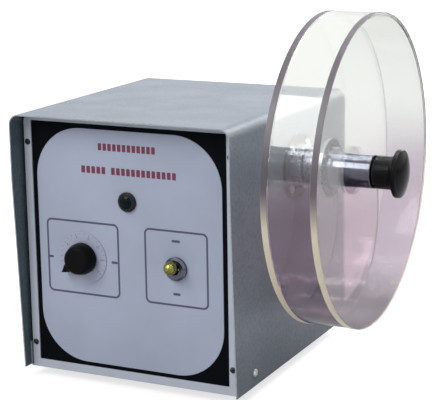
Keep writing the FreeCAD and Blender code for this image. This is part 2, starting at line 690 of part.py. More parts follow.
def make_front_panel():
    """Black panel behind the flange, drilled for the three controls and its own screws."""
    body = new_body("front_panel", ("cab_x", "panel_y", "floor_z"), FRONT)
    half = "(tray_width / 2 - sheet - panel_clearance)"
    sheet_outline = sketch_on(body, "XY")
    low = "sheet + panel_clearance"
    high = "tray_height - panel_clearance"
    corner = "tray_corner - panel_clearance"
    outline(sheet_outline, [(f"-{half}", low), (half, low), (half, high, corner),
                            (f"-{half}", high, corner)])
    circle(sheet_outline, "0", "lamp_height", "lamp_body_radius + hole_gap")
    circle(sheet_outline, "-control_offset", "control_height", "timer_bush_radius + hole_gap")
    circle(sheet_outline, "control_offset", "control_height", "switch_bush_radius + hole_gap")
    for side in ("-", ""):
        for up in ("panel_screw_low", "panel_screw_high"):
            circle(sheet_outline, f"{side}panel_screw_x", up, "three_shank + hole_gap")
    pad(body, sheet_outline, "panel_thickness", reverse=True)


def make_label_plate():
    """Pale plate with large round corners, inside the flange frame."""
    body = new_body("label_plate", ("cab_x", "panel_y", "floor_z"), FRONT)
    plate = sketch_on(body, "XY")
    box_outline(plate, "-label_width / 2", "label_low", "label_width / 2", "label_low + label_height",
                "label_corner")
    circle(plate, "0", "lamp_height", "lamp_body_radius + hole_gap")
    circle(plate, "-control_offset", "control_height", "timer_bush_radius + hole_gap")
    circle(plate, "control_offset", "control_height", "switch_bush_radius + hole_gap")
    pad(body, plate, "label_thickness")


def make_feet():
    """Four tapered rubber feet, with the screws and nuts that hold them to the tray."""
    foot = new_body("foot", ("0", "0", "0"), keep=False)
    revolve(foot, [
        ("foot_cup_radius", "0"), ("foot_radius", "0"), ("foot_top_radius", "foot_height"),
        ("four_shank + hole_gap", "foot_height"), ("four_shank + hole_gap", "foot_cup"),
        ("foot_cup_radius", "foot_cup")])
    screw = make_screw("foot_screw", "four",
                       "foot_height - foot_cup + sheet + four_nut_height + thread_show")
    spots = [(f"cab_x + {across}", up) for across, up in four_corners("foot_x", "foot_y")]
    group("rubber_feet", foot, [((x, y, "0"), UP) for x, y in spots])
    group("foot_screws", screw, [((x, y, "foot_cup"), DOWN) for x, y in spots])
    group("foot_nuts", four_nut, [((x, y, "tray_floor_z"), UP) for x, y in spots])


def make_panel_screws():
    """Screws through the front flange and the black panel, and the nuts of all M3 screws."""
    screw = make_screw("panel_screw", "three",
                       "sheet + panel_thickness + three_nut_height + thread_show")
    spots = [(f"cab_x {side} panel_screw_x", f"floor_z + {up}")
             for side in ("-", "+") for up in ("panel_screw_low", "panel_screw_high")]
    group("panel_screws", screw, [((x, "front_y", z), FRONT) for x, z in spots])
    nuts = [((x, "panel_y + panel_thickness + three_nut_height", z), FRONT) for x, z in spots]
    for side in ("-", "+"):
        nuts.append(((f"inlet_x {side} inlet_screw_half", "rear_y - sheet - three_nut_height", "rear_z"),
                     REAR))
    group("small_nuts", three_nut, nuts)


def make_cover_screws():
    """Screws through the cover's sides into the tray's lips, two on each side."""
    screw = make_screw("cover_screw", "four",
                       "sheet + cover_gap + sheet + four_nut_height + thread_show")
    height = "floor_z + side_screw_height"
    heads = []
    nuts = []
    for sign, turn in (("+", RIGHT), ("-", LEFT)):
        for side in ("-", ""):
            along = f"{side}side_screw_y"
            heads.append(((f"cab_x {sign} cabinet_width / 2", along, height), turn))
            nuts.append(((f"cab_x {sign} (tray_width / 2 - sheet - four_nut_height)", along, height),
                         turn))
    group("cover_screws", screw, heads)
    group("cover_nuts", four_nut, nuts)


# The drive inside the cabinet

def make_drive_frame():
    """Folded channel on the tray's floor that carries the bearing housing and the gearhead."""
    body = new_body("drive_frame", ("web_x", "0", "tray_floor_z"))
    left = "-frame_span"
    section = sketch_on(body, "XZ")
    outline(section, [
        ("0", "0", "frame_bend"), ("0", "frame_height", "frame_bend"),
        (left, "frame_height", "frame_bend"), (left, "web", "frame_bend - web"),
        (f"{left} - frame_foot", "web"), (f"{left} - frame_foot", "0"),
        (f"{left} + web", "0", "frame_bend"),
        (f"{left} + web", "frame_height - web", "frame_bend - web"),
        ("-web", "frame_height - web", "frame_bend - web"), ("-web", "web", "frame_bend - web"),
        ("-web - frame_foot", "web"), ("-web - frame_foot", "0")])
    pad(body, section, "frame_depth", middle=True)

    axis = "axis_z - tray_floor_z"
    windows = sketch_on(body, "YZ", "web")
    box_outline(windows, "-window_width / 2", "window_low", "window_width / 2", f"{axis} - window_high",
                "window_corner")
    pocket(body, windows)

    housing_holes = sketch_on(body, "YZ", "web")
    circle(housing_holes, "0", axis, "housing_radius + ring_gap")
    for side in ("-", ""):
        for rise in ("-", "+"):
            circle(housing_holes, f"{side}ring_screw", f"{axis} {rise} ring_screw",
                   "four_shank + hole_gap")
    pocket(body, housing_holes, "3 * web")

    gear_holes = sketch_on(body, "YZ", left)
    circle(gear_holes, "0", axis, "gear_boss_radius + ring_gap")
    for side in ("-", ""):
        for rise in ("-", "+"):
            circle(gear_holes, f"{side}gear_screw_half", f"{axis} - gear_offset {rise} gear_screw_half",
                   "four_shank + hole_gap")
    pocket(body, gear_holes, "3 * web", reverse=True)

    foot_holes = sketch_on(body, "XY", "2 * web")
    for across in ("frame_screw_inner - web_x", "frame_screw_outer - web_x"):
        for side in ("-", ""):
            circle(foot_holes, across, f"{side}frame_screw_spread / 2", "four_shank + hole_gap")
    pocket(body, foot_holes)


def make_frame_screws():
    screw = make_screw("frame_screw", "four", "sheet + web + four_nut_height + thread_show")
    spots = [(across, f"{side}frame_screw_spread / 2")
             for across in ("frame_screw_inner", "frame_screw_outer") for side in ("-", "")]
    group("frame_screws", screw, [((x, y, "floor_z"), DOWN) for x, y in spots])
    group("frame_nuts", four_nut, [((x, y, "tray_floor_z + web"), UP) for x, y in spots])


def ring_with_holes(name, spot, thickness):
    """A flat ring round the bearing housing, drilled for its four screws."""
    body = new_body(name, spot, RIGHT)
    ring = sketch_on(body, "XY")
    circle(ring, "0", "0", "ring_radius")
    circle(ring, "0", "0", "housing_radius + ring_gap")
    for across, up in four_corners("ring_screw", "ring_screw"):
        circle(ring, across, up, "four_shank + hole_gap")
    pad(body, ring, thickness)


def make_bearing_housing():
    """Turned housing with a seat for a ball bearing at each end."""
    body = new_body("bearing_housing", ("housing_rear_x", "0", "axis_z"), RIGHT)
    nose = "housing_front_x - housing_rear_x"
    seat = "bearing_inset + bearing_width"
    throat = "bearing_radius - bearing_lip"
    revolve(body, [
        ("bearing_radius", "0"), ("housing_radius", "0"), ("housing_radius", "housing_tail"),
        ("ring_radius", "housing_tail"), ("ring_radius", "housing_tail + housing_flange"),
        ("housing_radius", "housing_tail + housing_flange"),
        ("housing_radius", f"{nose} - nose_chamfer"), ("housing_radius - nose_chamfer", nose),
        ("bearing_radius", nose), ("bearing_radius", f"{nose} - ({seat})"),
        (throat, f"{nose} - ({seat})"), (throat, seat), ("bearing_radius", seat)])
    holes = sketch_on(body, "XY", "housing_tail + housing_flange")
    for across, up in four_corners("ring_screw", "ring_screw"):
        circle(holes, across, up, "four_shank + thread_fit")
    pocket(body, holes, "housing_flange")


def make_housing_screws():
    screw = make_screw("housing_screw", "four",
                       "ring_thickness + sheet + spacer_thickness + web + housing_flange")
    spots = [(across, f"axis_z + {up}") for across, up in four_corners("ring_screw", "ring_screw")]
    group("housing_screws", screw, [(("wall_x + ring_thickness", y, z), RIGHT) for y, z in spots])


def make_bearing_rings(name, inner):
    """One ring of each ball bearing, with its grooved race."""
    ring = new_body(name + "_master", ("0", "0", "0"), keep=False)
    race = "bearing_width / 2"
    if inner:
        edge = "(bearing_bore + ring_height)"
        half = f"sqrt(race_radius ^ 2 - (bearing_pitch - {edge}) ^ 2)"
        stops = [("bearing_bore", "0"), (edge, "0"), (edge, f"{race} - {half}", "race_radius", -1),
                 (edge, f"{race} + {half}"), (edge, "bearing_width"), ("bearing_bore", "bearing_width")]
    else:
        edge = "(bearing_radius - ring_height)"
        half = f"sqrt(race_radius ^ 2 - ({edge} - bearing_pitch) ^ 2)"
        stops = [("bearing_radius", "0"), ("bearing_radius", "bearing_width"), (edge, "bearing_width"),
                 (edge, f"{race} + {half}", "race_radius", -1), (edge, f"{race} - {half}"), (edge, "0")]
    revolve(ring, stops)
    group(name, ring, [((x, "0", "axis_z"), RIGHT) for x in ("rear_bearing_x", "front_bearing_x")])


def make_bearing_balls():
    count = 7
    ball = doc.addObject("Part::Sphere", "ball")
    bind(ball, "Radius", "ball_radius")
    spots = []
    for start in ("rear_bearing_x", "front_bearing_x"):
        for step in range(count):
            turn = 360.0 * step / count
            spots.append(((f"{start} + bearing_width / 2", f"bearing_pitch * cos({turn})",
                           f"axis_z + bearing_pitch * sin({turn})"), UP))
    group("bearing_balls", ball, spots)


def make_drive_shaft():
    """Stepped shaft: thin tail, bearing journal, drum seat and the threaded end for the knob."""
    body = new_body("drive_shaft", ("journal_x", "0", "axis_z"), RIGHT)
    shoulder = "boss_x - journal_x"
    seat_end = "cover_disc_x - journal_x"
    thread_end = "knob_x + stud_reach - journal_x"
    chamfer = "disc_lip"
    revolve(body, [
        ("0", "-shaft_tail"), (f"shaft_tail_radius - {chamfer}", "-shaft_tail"),
        ("shaft_tail_radius", f"{chamfer} - shaft_tail"), ("shaft_tail_radius", "0"),
        ("bearing_bore", "0"), ("bearing_bore", shoulder), ("seat_radius", shoulder),
        ("seat_radius", seat_end), ("stud_radius", seat_end), ("stud_radius", f"{thread_end} - {chamfer}"),
        (f"stud_radius - {chamfer}", thread_end), ("0", thread_end)])


def make_coupling():
    """Rigid sleeve coupling, with the grub screws that hold it and the drum's boss."""
    body = new_body("shaft_coupling", ("coupling_x", "0", "axis_z"), RIGHT)
    chamfer = "disc_lip"
    bore = "shaft_tail_radius + seat_fit"
    revolve(body, [
        (bore, "0"), (f"coupling_radius - {chamfer}", "0"), ("coupling_radius", chamfer),
        ("coupling_radius", f"coupling_length - {chamfer}"),
        (f"coupling_radius - {chamfer}", "coupling_length"), (bore, "coupling_length")])
    holes = sketch_on(body, "YZ", "-coupling_radius")
    for share in ("coupling_length / 5", "coupling_length * 4 / 5"):
        circle(holes, "0", share, "three_shank + thread_fit")
    pocket(body, holes, "coupling_radius", reverse=True)

    grub = new_body("grub_screw", ("0", "0", "0"), keep=False)
    depth = "coupling_radius - shaft_tail_radius - seat_fit"
    shank = sketch_on(grub, "XY")
    circle(shank, "0", "0", "three_shank")
    pad(grub, shank, depth)
    slot = sketch_on(grub, "XY", depth)
    box_outline(slot, "-three_shank", "-slot_width / 4", "three_shank", "slot_width / 4")
    pocket(grub, slot, "slot_depth")
    spots = [((f"coupling_x + {share}", "-shaft_tail_radius - seat_fit", "axis_z"), FRONT)
             for share in ("coupling_length / 5", "coupling_length * 4 / 5")]
    spots.append((("boss_x + (drum_x - boss_x - boss_flange) / 2", "-seat_radius - seat_fit", "axis_z"),
                  FRONT))
    group("grub_screws", grub, spots)


def make_gear_motor():
    """Square gearhead with an offset output shaft, and the motor behind it."""
    half = "gear_width / 2"
    gear = new_body("gearhead", ("gear_x", "0", "axis_z"), RIGHT)
    case = sketch_on(gear, "XY")
    box_outline(case, f"-{half}", f"-gear_offset - {half}", half, f"{half} - gear_offset", "gear_corner")
    pad(gear, case, "gear_length", reverse=True)
    boss = sketch_on(gear, "XY")
    circle(boss, "0", "0", "gear_boss_radius")
    pad(gear, boss, "web")
    bore = sketch_on(gear, "XY", "web")
    circle(bore, "0", "0", "shaft_tail_radius + gear_bore_gap")
    pocket(gear, bore, "web + gear_shaft_depth + gear_bore_gap")
    screw_holes = sketch_on(gear, "XY", "web")
    for side in ("-", ""):
        for rise in ("-", "+"):
            circle(screw_holes, f"{side}gear_screw_half", f"{rise}gear_screw_half - gear_offset",
                   "four_shank + thread_fit")
    pocket(gear, screw_holes, "web + gear_length / 2")

    output = new_body("motor_shaft", ("gear_x", "0", "axis_z"), RIGHT)
    rod = sketch_on(output, "XY", "-gear_shaft_depth")
    circle(rod, "0", "0", "shaft_tail_radius")
    pad(output, rod, "gear_shaft_depth + coupling_x + coupling_length / 3 - gear_x")

    motor = new_body("motor", ("motor_x", "0", "axis_z - gear_offset"), RIGHT)
    for start, length, square in (("0", "motor_cap", True),
                                  ("-motor_cap", "motor_length - 2 * motor_cap", False),
                                  ("motor_cap - motor_length", "motor_cap", True)):
        slab = sketch_on(motor, "XY", start)
        if square:
            box_outline(slab, f"-{half}", f"-{half}", half, half, "gear_corner")
        else:
            circle(slab, "0", "0", "motor_radius")
        pad(motor, slab, length, reverse=True)

    screw = make_screw("gear_screw", "four", "web + gear_length / 3")
    spots = []
    for side in ("-", ""):
        for rise in ("-", "+"):
            spots.append((("motor_web_x", f"{side}gear_screw_half",
                           f"axis_z - gear_offset {rise} gear_screw_half"), RIGHT))
    group("gear_screws", screw, spots)


# The drum

def make_drum_boss():
    """Turned boss between the bearing housing and the back disc, with its grub screw."""
    body = new_body("drum_boss", ("boss_x", "0", "axis_z"), RIGHT)
    length = "drum_x - boss_x"
    bore = "seat_radius + seat_fit"
    chamfer = "bearing_lip"
    revolve(body, [
        (bore, "0"), (f"boss_radius - {chamfer}", "0"), ("boss_radius", chamfer),
        ("boss_radius", f"{length} - boss_flange"),
        (f"boss_flange_radius - {chamfer}", f"{length} - boss_flange"),
        ("boss_flange_radius", f"{length} - boss_flange + {chamfer}"),
        ("boss_flange_radius", length), (bore, length)])
    hole = sketch_on(body, "YZ", "-boss_radius")
    circle(hole, "0", f"({length} - boss_flange) / 2", "three_shank + thread_fit")
    pocket(body, hole, "boss_radius", reverse=True)


def make_disc(name, start, bore):
    body = new_body(name, (start, "0", "axis_z"), RIGHT)
    disc = sketch_on(body, "XY")
    circle(disc, "0", "0", "disc_radius")
    circle(disc, "0", "0", bore)
    pad(body, disc, "disc_thickness")


def make_drum_rim():
    body = new_body("drum_rim", ("rim_x", "0", "axis_z"), RIGHT)
    ring = sketch_on(body, "XY")
    circle(ring, "0", "0", "rim_radius")
    circle(ring, "0", "0", "drum_radius")
    pad(body, ring, "drum_depth")


def make_drum_baffle():
    """Curved vane from the hub to the rim that lifts the tablets and drops them.

    Its band is an arc whose circle passes through the drum's axis, trimmed by the hub and the rim.
    """
    body = new_body("drum_baffle", ("rim_x", "0", "axis_z"), RIGHT)
    outer = "(baffle_radius + baffle_thickness)"
    start = "(baffle_angle + 180)"
    end = "(baffle_angle + 180 - baffle_sweep)"
    band = sketch_on(body, "XY")
    draw(band, [
        (f"baffle_y + {outer} * cos{start}", f"baffle_z + {outer} * sin{start}", outer, -1),
        (f"baffle_y + {outer} * cos{end}", f"baffle_z + {outer} * sin{end}"),
        (f"baffle_y + baffle_radius * cos{end}", f"baffle_z + baffle_radius * sin{end}",
         "baffle_radius", 1),
        (f"baffle_y + baffle_radius * cos{start}", f"baffle_z + baffle_radius * sin{start}")])
    pad(body, band, "drum_depth - baffle_gap")
    hub_cut = sketch_on(body, "XY", "drum_depth")
    circle(hub_cut, "0", "0", "hub_radius")
    pocket(body, hub_cut)
    flange_cut = sketch_on(body, "XY", "hub_flange")
    circle(flange_cut, "0", "0", "hub_flange_radius")
    pocket(body, flange_cut)
    rim_cut = sketch_on(body, "XY", "drum_depth")
    circle(rim_cut, "0", "0", "drum_radius + 2 * baffle_radius")
    circle(rim_cut, "0", "0", "drum_radius")
    pocket(body, rim_cut)


def make_drum_hub():
    """Bright sleeve that keeps the two discs apart."""
    body = new_body("drum_hub", ("rim_x", "0", "axis_z"), RIGHT)
    bore = "seat_radius + seat_fit"
    chamfer = "disc_lip"
    revolve(body, [
        (bore, "0"), ("hub_flange_radius", "0"), ("hub_flange_radius", f"hub_flange - {chamfer}"),
        (f"hub_flange_radius - {chamfer}", "hub_flange"), ("hub_radius", "hub_flange"),
        ("hub_radius", f"drum_depth - {chamfer}"), (f"hub_radius - {chamfer}", "drum_depth"),
        (bore, "drum_depth")])


def make_clamp_knob():
    """Black mushroom knob with a brass insert, on the threaded end of the shaft."""
    knob = new_body("clamp_knob", ("knob_x", "0", "axis_z"), RIGHT)
    head = "knob_neck_length + knob_flare"
    shoulder = f"({head} + knob_rim)"
    crown = "(knob_head_radius - knob_edge)"
    rise = f"(knob_length - {shoulder})"
    dome = f"(({crown} ^ 2 + {rise} ^ 2) / (2 * {rise}))"
    flare = "((knob_head_radius - knob_neck_radius) ^ 2 + knob_flare ^ 2) / (2 * knob_flare)"
    chamfer = "disc_lip"
    revolve(knob, [
        ("insert_radius", "0"), (f"knob_neck_radius - {chamfer}", "0"), ("knob_neck_radius", chamfer),
        ("knob_neck_radius", "knob_neck_length", flare, -1), ("knob_head_radius", head),
        ("knob_head_radius", f"{shoulder} - knob_edge", "knob_edge", 1),
        (crown, shoulder, dome, 1), ("0", "knob_length"), ("0", "insert_length + stud_radius"),
        ("insert_radius", "insert_length")])

    insert = new_body("knob_insert", ("knob_x", "0", "axis_z"), RIGHT)
    revolve(insert, tube_stops("stud_radius + insert_gap", "insert_radius", "0", "insert_length"))

    washer = new_body("knob_washer", ("washer_x", "0", "axis_z"), RIGHT)
    revolve(washer, tube_stops("stud_radius + stud_gap", "washer_radius", "0", "washer_thickness"))


# The controls on the front

def make_timer():
    """Clockwork timer: dial, case with its bush, nut, spindle and pointer knob."""
    spot = ("timer_x", "label_y", "control_z")
    dial = new_body("timer_dial", spot, FRONT)
    ring = sketch_on(dial, "XY")
    circle(ring, "0", "0", "dial_radius")
    circle(ring, "0", "0", "timer_bush_radius + hole_gap")
    pad(dial, ring, "dial_thickness")

    case = new_body("timer_body", spot, FRONT)
    half = "timer_width / 2"
    block = sketch_on(case, "XY", "-panel_back")
    box_outline(block, f"-{half}", f"-{half}", half, half, "fold_radius")
    pad(case, block, "timer_depth", reverse=True)
    bush = sketch_on(case, "XY", "-panel_back")
    circle(bush, "0", "0", "timer_bush_radius")
    pad(case, bush, "panel_back + timer_bush")
    bore = sketch_on(case, "XY", "timer_bush")
    circle(bore, "0", "0", "spindle_radius + spindle_gap")
    pocket(case, bore, "timer_bush + spindle_depth + thread_show")

    nut = make_nut("bush_nut", "timer_nut_radius", "timer_bush_radius + thread_fit", "timer_nut_height")
    group("timer_nut", nut, [((spot[0], f"{spot[1]} - dial_thickness", spot[2]), FRONT)])

    spindle = new_body("timer_spindle", spot, FRONT)
    rod = sketch_on(spindle, "XY", "-spindle_depth")
    circle(rod, "0", "0", "spindle_radius")
    pad(spindle, rod, "spindle_depth + spindle_length")

    knob = new_body("timer_knob", spot, FRONT)
    foot = "dial_thickness + knob_float"
    crown_edge = "fold_radius"
    revolve(knob, [
        ("timer_knob_recess", foot), ("timer_knob_radius", foot),
        ("timer_knob_radius", "timer_knob_roof"),
        ("timer_knob_top", f"timer_knob_height - {crown_edge}"),
        (f"timer_knob_top - {crown_edge}", "timer_knob_height"), ("0", "timer_knob_height"),
        ("0", "spindle_length"), ("spindle_radius", "spindle_length"),
        ("spindle_radius", "timer_knob_roof"), ("timer_knob_recess", "timer_knob_roof")])
    nib = sketch_on(knob, "XY", foot)
    along = "cos(pointer_angle)"
    aside = "sin(pointer_angle)"
    root = "(timer_knob_recess + fold_radius)"
    draw(nib, [
        (f"{root} * {along} - pointer_half * {aside}", f"{root} * {aside} + pointer_half * {along}"),
        (f"{root} * {along} + pointer_half * {aside}", f"{root} * {aside} - pointer_half * {along}"),
        (f"pointer_reach * {along}", f"pointer_reach * {aside}")])
    pad(knob, nib, "pointer_height")


def make_switch():
    """Toggle switch: case with its bush, dress nut, pivot pin and lever."""
    spot = ("switch_x", "label_y", "control_z")
    case = new_body("switch_body", spot, FRONT)
    block = sketch_on(case, "XY", "-panel_back")
    box_outline(block, "-switch_width / 2", "-switch_tall / 2", "switch_width / 2", "switch_tall / 2",
                "fold_radius")
    pad(case, block, "switch_depth", reverse=True)
    bush = sketch_on(case, "XY", "-panel_back")
    circle(bush, "0", "0", "switch_bush_radius")
    pad(case, bush, "panel_back + switch_bush")
    bore = sketch_on(case, "XY", "switch_bush")
    circle(bore, "0", "0", "switch_bore")
    pocket(case, bore, "switch_bush + switch_bore_depth")
    pin_hole = sketch_on(case, "YZ", "switch_bush_radius")
    circle(pin_hole, "0", "lever_pivot", "lever_pin")
    pocket(case, pin_hole)

    pin = new_body("switch_pin", ("switch_x - switch_bush_radius", "label_y - lever_pivot", "control_z"),
                   RIGHT)
    rod = sketch_on(pin, "XY")
    circle(rod, "0", "0", "lever_pin")
    pad(pin, rod, "2 * switch_bush_radius")

    nut = new_body("switch_nut", spot, FRONT)
    bore_radius = "switch_bush_radius + thread_fit"
    revolve(nut, [
        (bore_radius, "0"), ("switch_nut_radius", "0"),
        ("switch_nut_radius", "switch_nut_height - switch_nut_slope"),
        ("switch_nut_radius - switch_nut_slope", "switch_nut_height"), (bore_radius, "switch_nut_height")])

    tilt = number("lever_tilt")
    lever = new_body("switch_lever", ("switch_x", "label_y - lever_pivot", "control_z"),
                     Rotation(Vector(1, 0, 0), 90 - tilt))
    root_end = "sqrt(lever_root ^ 2 - lever_neck ^ 2)"
    tail_end = "sqrt(lever_root ^ 2 - lever_tail_radius ^ 2)"
    ball_start = "lever_length - lever_tip - sqrt(lever_tip ^ 2 - lever_neck ^ 2)"
    revolve(lever, [
        ("0", "-lever_tail"), ("lever_tail_radius", "-lever_tail"),
        ("lever_tail_radius", f"-{tail_end}", "lever_root", 1), ("lever_neck", root_end),
        ("lever_neck", ball_start, "lever_tip", 1), ("0", "lever_length")])
    pivot = sketch_on(lever, "YZ", "lever_root")
    circle(pivot, "0", "0", "lever_pin + pin_gap")
    pocket(lever, pivot)


def make_lamp():
    """Pilot lamp: dark bezel, domed lens and the holder behind the panel."""
    spot = ("cab_x", "label_y", "lamp_z")
    holder = new_body("lamp_body", spot, FRONT)
    revolve(holder, [
        ("0", "-lamp_body_depth"), ("lamp_body_radius", "-lamp_body_depth"), ("lamp_body_radius", "0"),
        ("0", "0")])
    bezel = new_body("lamp_bezel", spot, FRONT)
    revolve(bezel, [
        ("lens_radius", "0"), ("bezel_radius", "0"), ("bezel_radius", "bezel_height / 2"),
        ("bezel_radius - bezel_height / 2", "bezel_height"), ("lens_radius", "bezel_height")])
    lens = new_body("lamp_lens", spot, FRONT)
    rise = "(lens_height - bezel_height)"
    dome = f"((lens_radius ^ 2 + {rise} ^ 2) / (2 * {rise}))"
    revolve(lens, [
        ("0", "0"), ("lens_radius", "0"), ("lens_radius", "bezel_height", dome, 1), ("0", "lens_height")])
    clip = make_nut("lamp_ring", "bezel_radius", "lamp_body_radius + thread_fit", "three_nut_height")
    group("lamp_nut", clip, [((spot[0], f"{spot[1]} + panel_back + three_nut_height", spot[2]), FRONT)])


# The rear wall and the electrical pieces

def make_mains_inlet():
    """Three-pole mains inlet with a flange, an open mouth and three blades."""
    spot = ("inlet_x", "rear_y", "rear_z")
    shell = new_body("mains_inlet", spot, REAR)
    flange = sketch_on(shell, "XY")
    box_outline(flange, "-inlet_width / 2", "-inlet_tall / 2", "inlet_width / 2", "inlet_tall / 2",
                "inlet_corner")
    for side in ("-", ""):
        circle(flange, f"{side}inlet_screw_half", "0", "three_shank + hole_gap")
    pad(shell, flange, "inlet_flange")
    block = sketch_on(shell, "XY")
    box_outline(block, "-inlet_body_width / 2", "-inlet_body_tall / 2", "inlet_body_width / 2",
                "inlet_body_tall / 2", "socket_floor")
    pad(shell, block, "inlet_body_depth", reverse=True)
    mouth = sketch_on(shell, "XY", "inlet_flange")
    box_outline(mouth, "-socket_width / 2", "-socket_tall / 2", "socket_width / 2", "socket_tall / 2",
                "socket_corner")
    pocket(shell, mouth, "inlet_flange + inlet_body_depth - socket_floor")
    blade_spots = [("-blade_spread", "-blade_drop"), ("0", "blade_drop"), ("blade_spread", "-blade_drop")]
    slots = sketch_on(shell, "XY", "inlet_flange")
    for across, up in blade_spots:
        box_outline(slots, f"{across} - blade_thick / 2 - thread_fit", f"{up} - blade_width / 2 - thread_fit",
                    f"{across} + blade_thick / 2 + thread_fit", f"{up} + blade_width / 2 + thread_fit")
    pocket(shell, slots)

    blade = new_body("inlet_blade", ("0", "0", "0"), keep=False)
    section = sketch_on(blade, "XY", "-inlet_body_depth - blade_tag")
    box_outline(section, "-blade_thick / 2", "-blade_width / 2", "blade_thick / 2", "blade_width / 2")
    pad(blade, section, "inlet_body_depth + blade_tag - thread_show")
    group("inlet_blades", blade, [
        ((f"inlet_x - ({across})", "rear_y", f"rear_z + {up}"), REAR) for across, up in blade_spots])

    screw = make_screw("inlet_screw", "three", "inlet_flange + sheet + three_nut_height + thread_show")
    group("inlet_screws", screw, [
        ((f"inlet_x {side} inlet_screw_half", "rear_y + inlet_flange", "rear_z"), REAR)
        for side in ("-", "+")])


def make_fuse():
    """Fuse holder, with a cap that draws the fuse out."""
    spot = ("fuse_x", "rear_y", "rear_z")
    holder = new_body("fuse_holder", spot, REAR)
    revolve(holder, [
        ("0", "-fuse_depth"), ("fuse_barrel", "-fuse_depth"), ("fuse_barrel", "0"),
        ("fuse_flange_radius", "0"), ("fuse_flange_radius", "fuse_flange"), ("fuse_bore", "fuse_flange"),
        ("fuse_bore", "fuse_bore - fuse_depth"), ("0", "fuse_bore - fuse_depth")])
    nut = make_nut("barrel_nut", "fuse_flange_radius + fuse_flange", "fuse_barrel + thread_fit",
                   "three_nut_height")
    group("fuse_nut", nut, [((spot[0], f"{spot[1]} - sheet - three_nut_height", spot[2]), REAR)])
    cap = new_body("fuse_cap", spot, REAR)
    crown = "fuse_flange + fuse_cap_height"
    revolve(cap, [
        ("0", "-fuse_stem"), ("fuse_stem_radius", "-fuse_stem"), ("fuse_stem_radius", "fuse_flange"),
        ("fuse_cap_radius", "fuse_flange"), ("fuse_cap_radius", f"{crown} - disc_lip"),
        ("fuse_cap_radius - disc_lip", crown), ("0", crown)])
    slot = sketch_on(cap, "XY", crown)
    box_outline(slot, "-fuse_cap_radius", "-slot_width", "fuse_cap_radius", "slot_width")
    pocket(cap, slot, "2 * slot_depth")
    link = new_body("fuse_link", spot, REAR)
    tip = "-fuse_stem - fuse_length"
    revolve(link, [
        ("0", tip), ("fuse_radius", tip), ("fuse_radius", f"{tip} + fuse_length / 4"),
        ("fuse_radius - sheet / 4", f"{tip} + fuse_length / 4"),
        ("fuse_radius - sheet / 4", "-fuse_stem - fuse_length / 4"),
        ("fuse_radius", "-fuse_stem - fuse_length / 4"), ("fuse_radius", "-fuse_stem"), ("0", "-fuse_stem")])


def make_terminal_strip():
    """Block of screw terminals on the tray's floor."""
    body = new_body("terminal_strip", ("strip_x", "strip_back", "tray_floor_z"))
    half_length = "strip_length / 2"
    half_width = "strip_width / 2"
    block = sketch_on(body, "YZ", f"-{half_length}")
    draw(block, [
        (f"-{half_width}", "0"), (half_width, "0"), (half_width, "strip_height / 2"),
        (f"{half_width} / 2", "strip_height"), (f"-{half_width} / 2", "strip_height"),
        (f"-{half_width}", "strip_height / 2")])
    pad(body, block, "strip_length")
    wells = sketch_on(body, "XY", "strip_height")
    for side in ("-", ""):
        circle(wells, "-strip_pitch * (strip_ways - 1) / 2", f"{side}{half_width} / 4", "three_shank")
    cut = pocket(body, wells, "strip_height / 2")
    row = body.newObject("PartDesign::LinearPattern", "terminal_row")
    row.Originals = [cut]
    row.Direction = (wells, ["H_Axis"])
    bind(row, "Length", "strip_pitch * (strip_ways - 1)")
    bind(row, "Occurrences", "strip_ways")
    body.Tip = row


def make_capacitor():
    """Motor capacitor standing in a spring clip."""
    spot = ("capacitor_x", "-capacitor_front", "tray_floor_z")
    can = new_body("motor_capacitor", spot)
    chamfer = "disc_lip"
    revolve(can, [
        ("0", "clip_wall"), ("capacitor_radius", "clip_wall"),
        ("capacitor_radius", f"capacitor_height - {chamfer}"),
        (f"capacitor_radius - {chamfer}", "capacitor_height"), ("0", "capacitor_height")])
    clip = new_body("capacitor_clip", spot)
    revolve(clip, [
        ("0", "0"), ("capacitor_radius + clip_wall", "0"), ("capacitor_radius + clip_wall", "clip_height"),
        ("capacitor_radius", "clip_height"), ("capacitor_radius", "clip_wall"), ("0", "clip_wall")])


# The assembly

four_nut = make_nut("four_nut_master", "four_nut", "four_shank + thread_fit", "four_nut_height")
three_nut = make_nut("three_nut_master", "three_nut", "three_shank + thread_fit", "three_nut_height")
make_base_tray()
make_cover()
make_front_panel()
make_label_plate()
make_feet()
make_panel_screws()
make_cover_screws()
make_drive_frame()
make_frame_screws()
ring_with_holes("wall_ring", ("wall_x", "0", "axis_z"), "ring_thickness")
ring_with_holes("spacer_ring", ("web_x", "0", "axis_z"), "spacer_thickness")
make_bearing_housing()
make_housing_screws()
make_bearing_rings("bearing_outer_rings", False)
make_bearing_rings("bearing_inner_rings", True)
make_bearing_balls()
make_drive_shaft()
make_coupling()
make_gear_motor()
make_drum_boss()
make_disc("drum_back", "drum_x", "seat_radius + seat_fit")
make_drum_rim()
make_drum_baffle()
make_drum_hub()
make_disc("drum_cover", "cover_disc_x", "stud_radius + stud_gap")
make_clamp_knob()
make_timer()
make_switch()
make_lamp()
make_mains_inlet()
make_fuse()
make_terminal_strip()
make_capacitor()

doc.recompute()

# Nothing is written unless every object and every sub-part is sound
for thing in doc.Objects:
    if "Invalid" in thing.State or "Error" in thing.State:
        raise RuntimeError(f"{thing.Name} failed: {thing.State}")
for node in NODES:
    if node.Shape.isNull() or not node.Shape.isValid():
        raise RuntimeError(f"{node.Label} has no sound shape")

os.makedirs("parts", exist_ok=True)
for node in NODES:
    node.Shape.exportStep(f"parts/{node.Label}.step")
    print(node.Label, len(node.Shape.Solids), round(node.Shape.Volume / 1000.0, 2), "cm3")
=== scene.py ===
"""Friability tester: finishes, printed marks and the clear drum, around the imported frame."""
import json
import math

import bpy
from bpy.props import FloatProperty, FloatVectorProperty, IntProperty, PointerProperty
from mathutils import Matrix, Vector

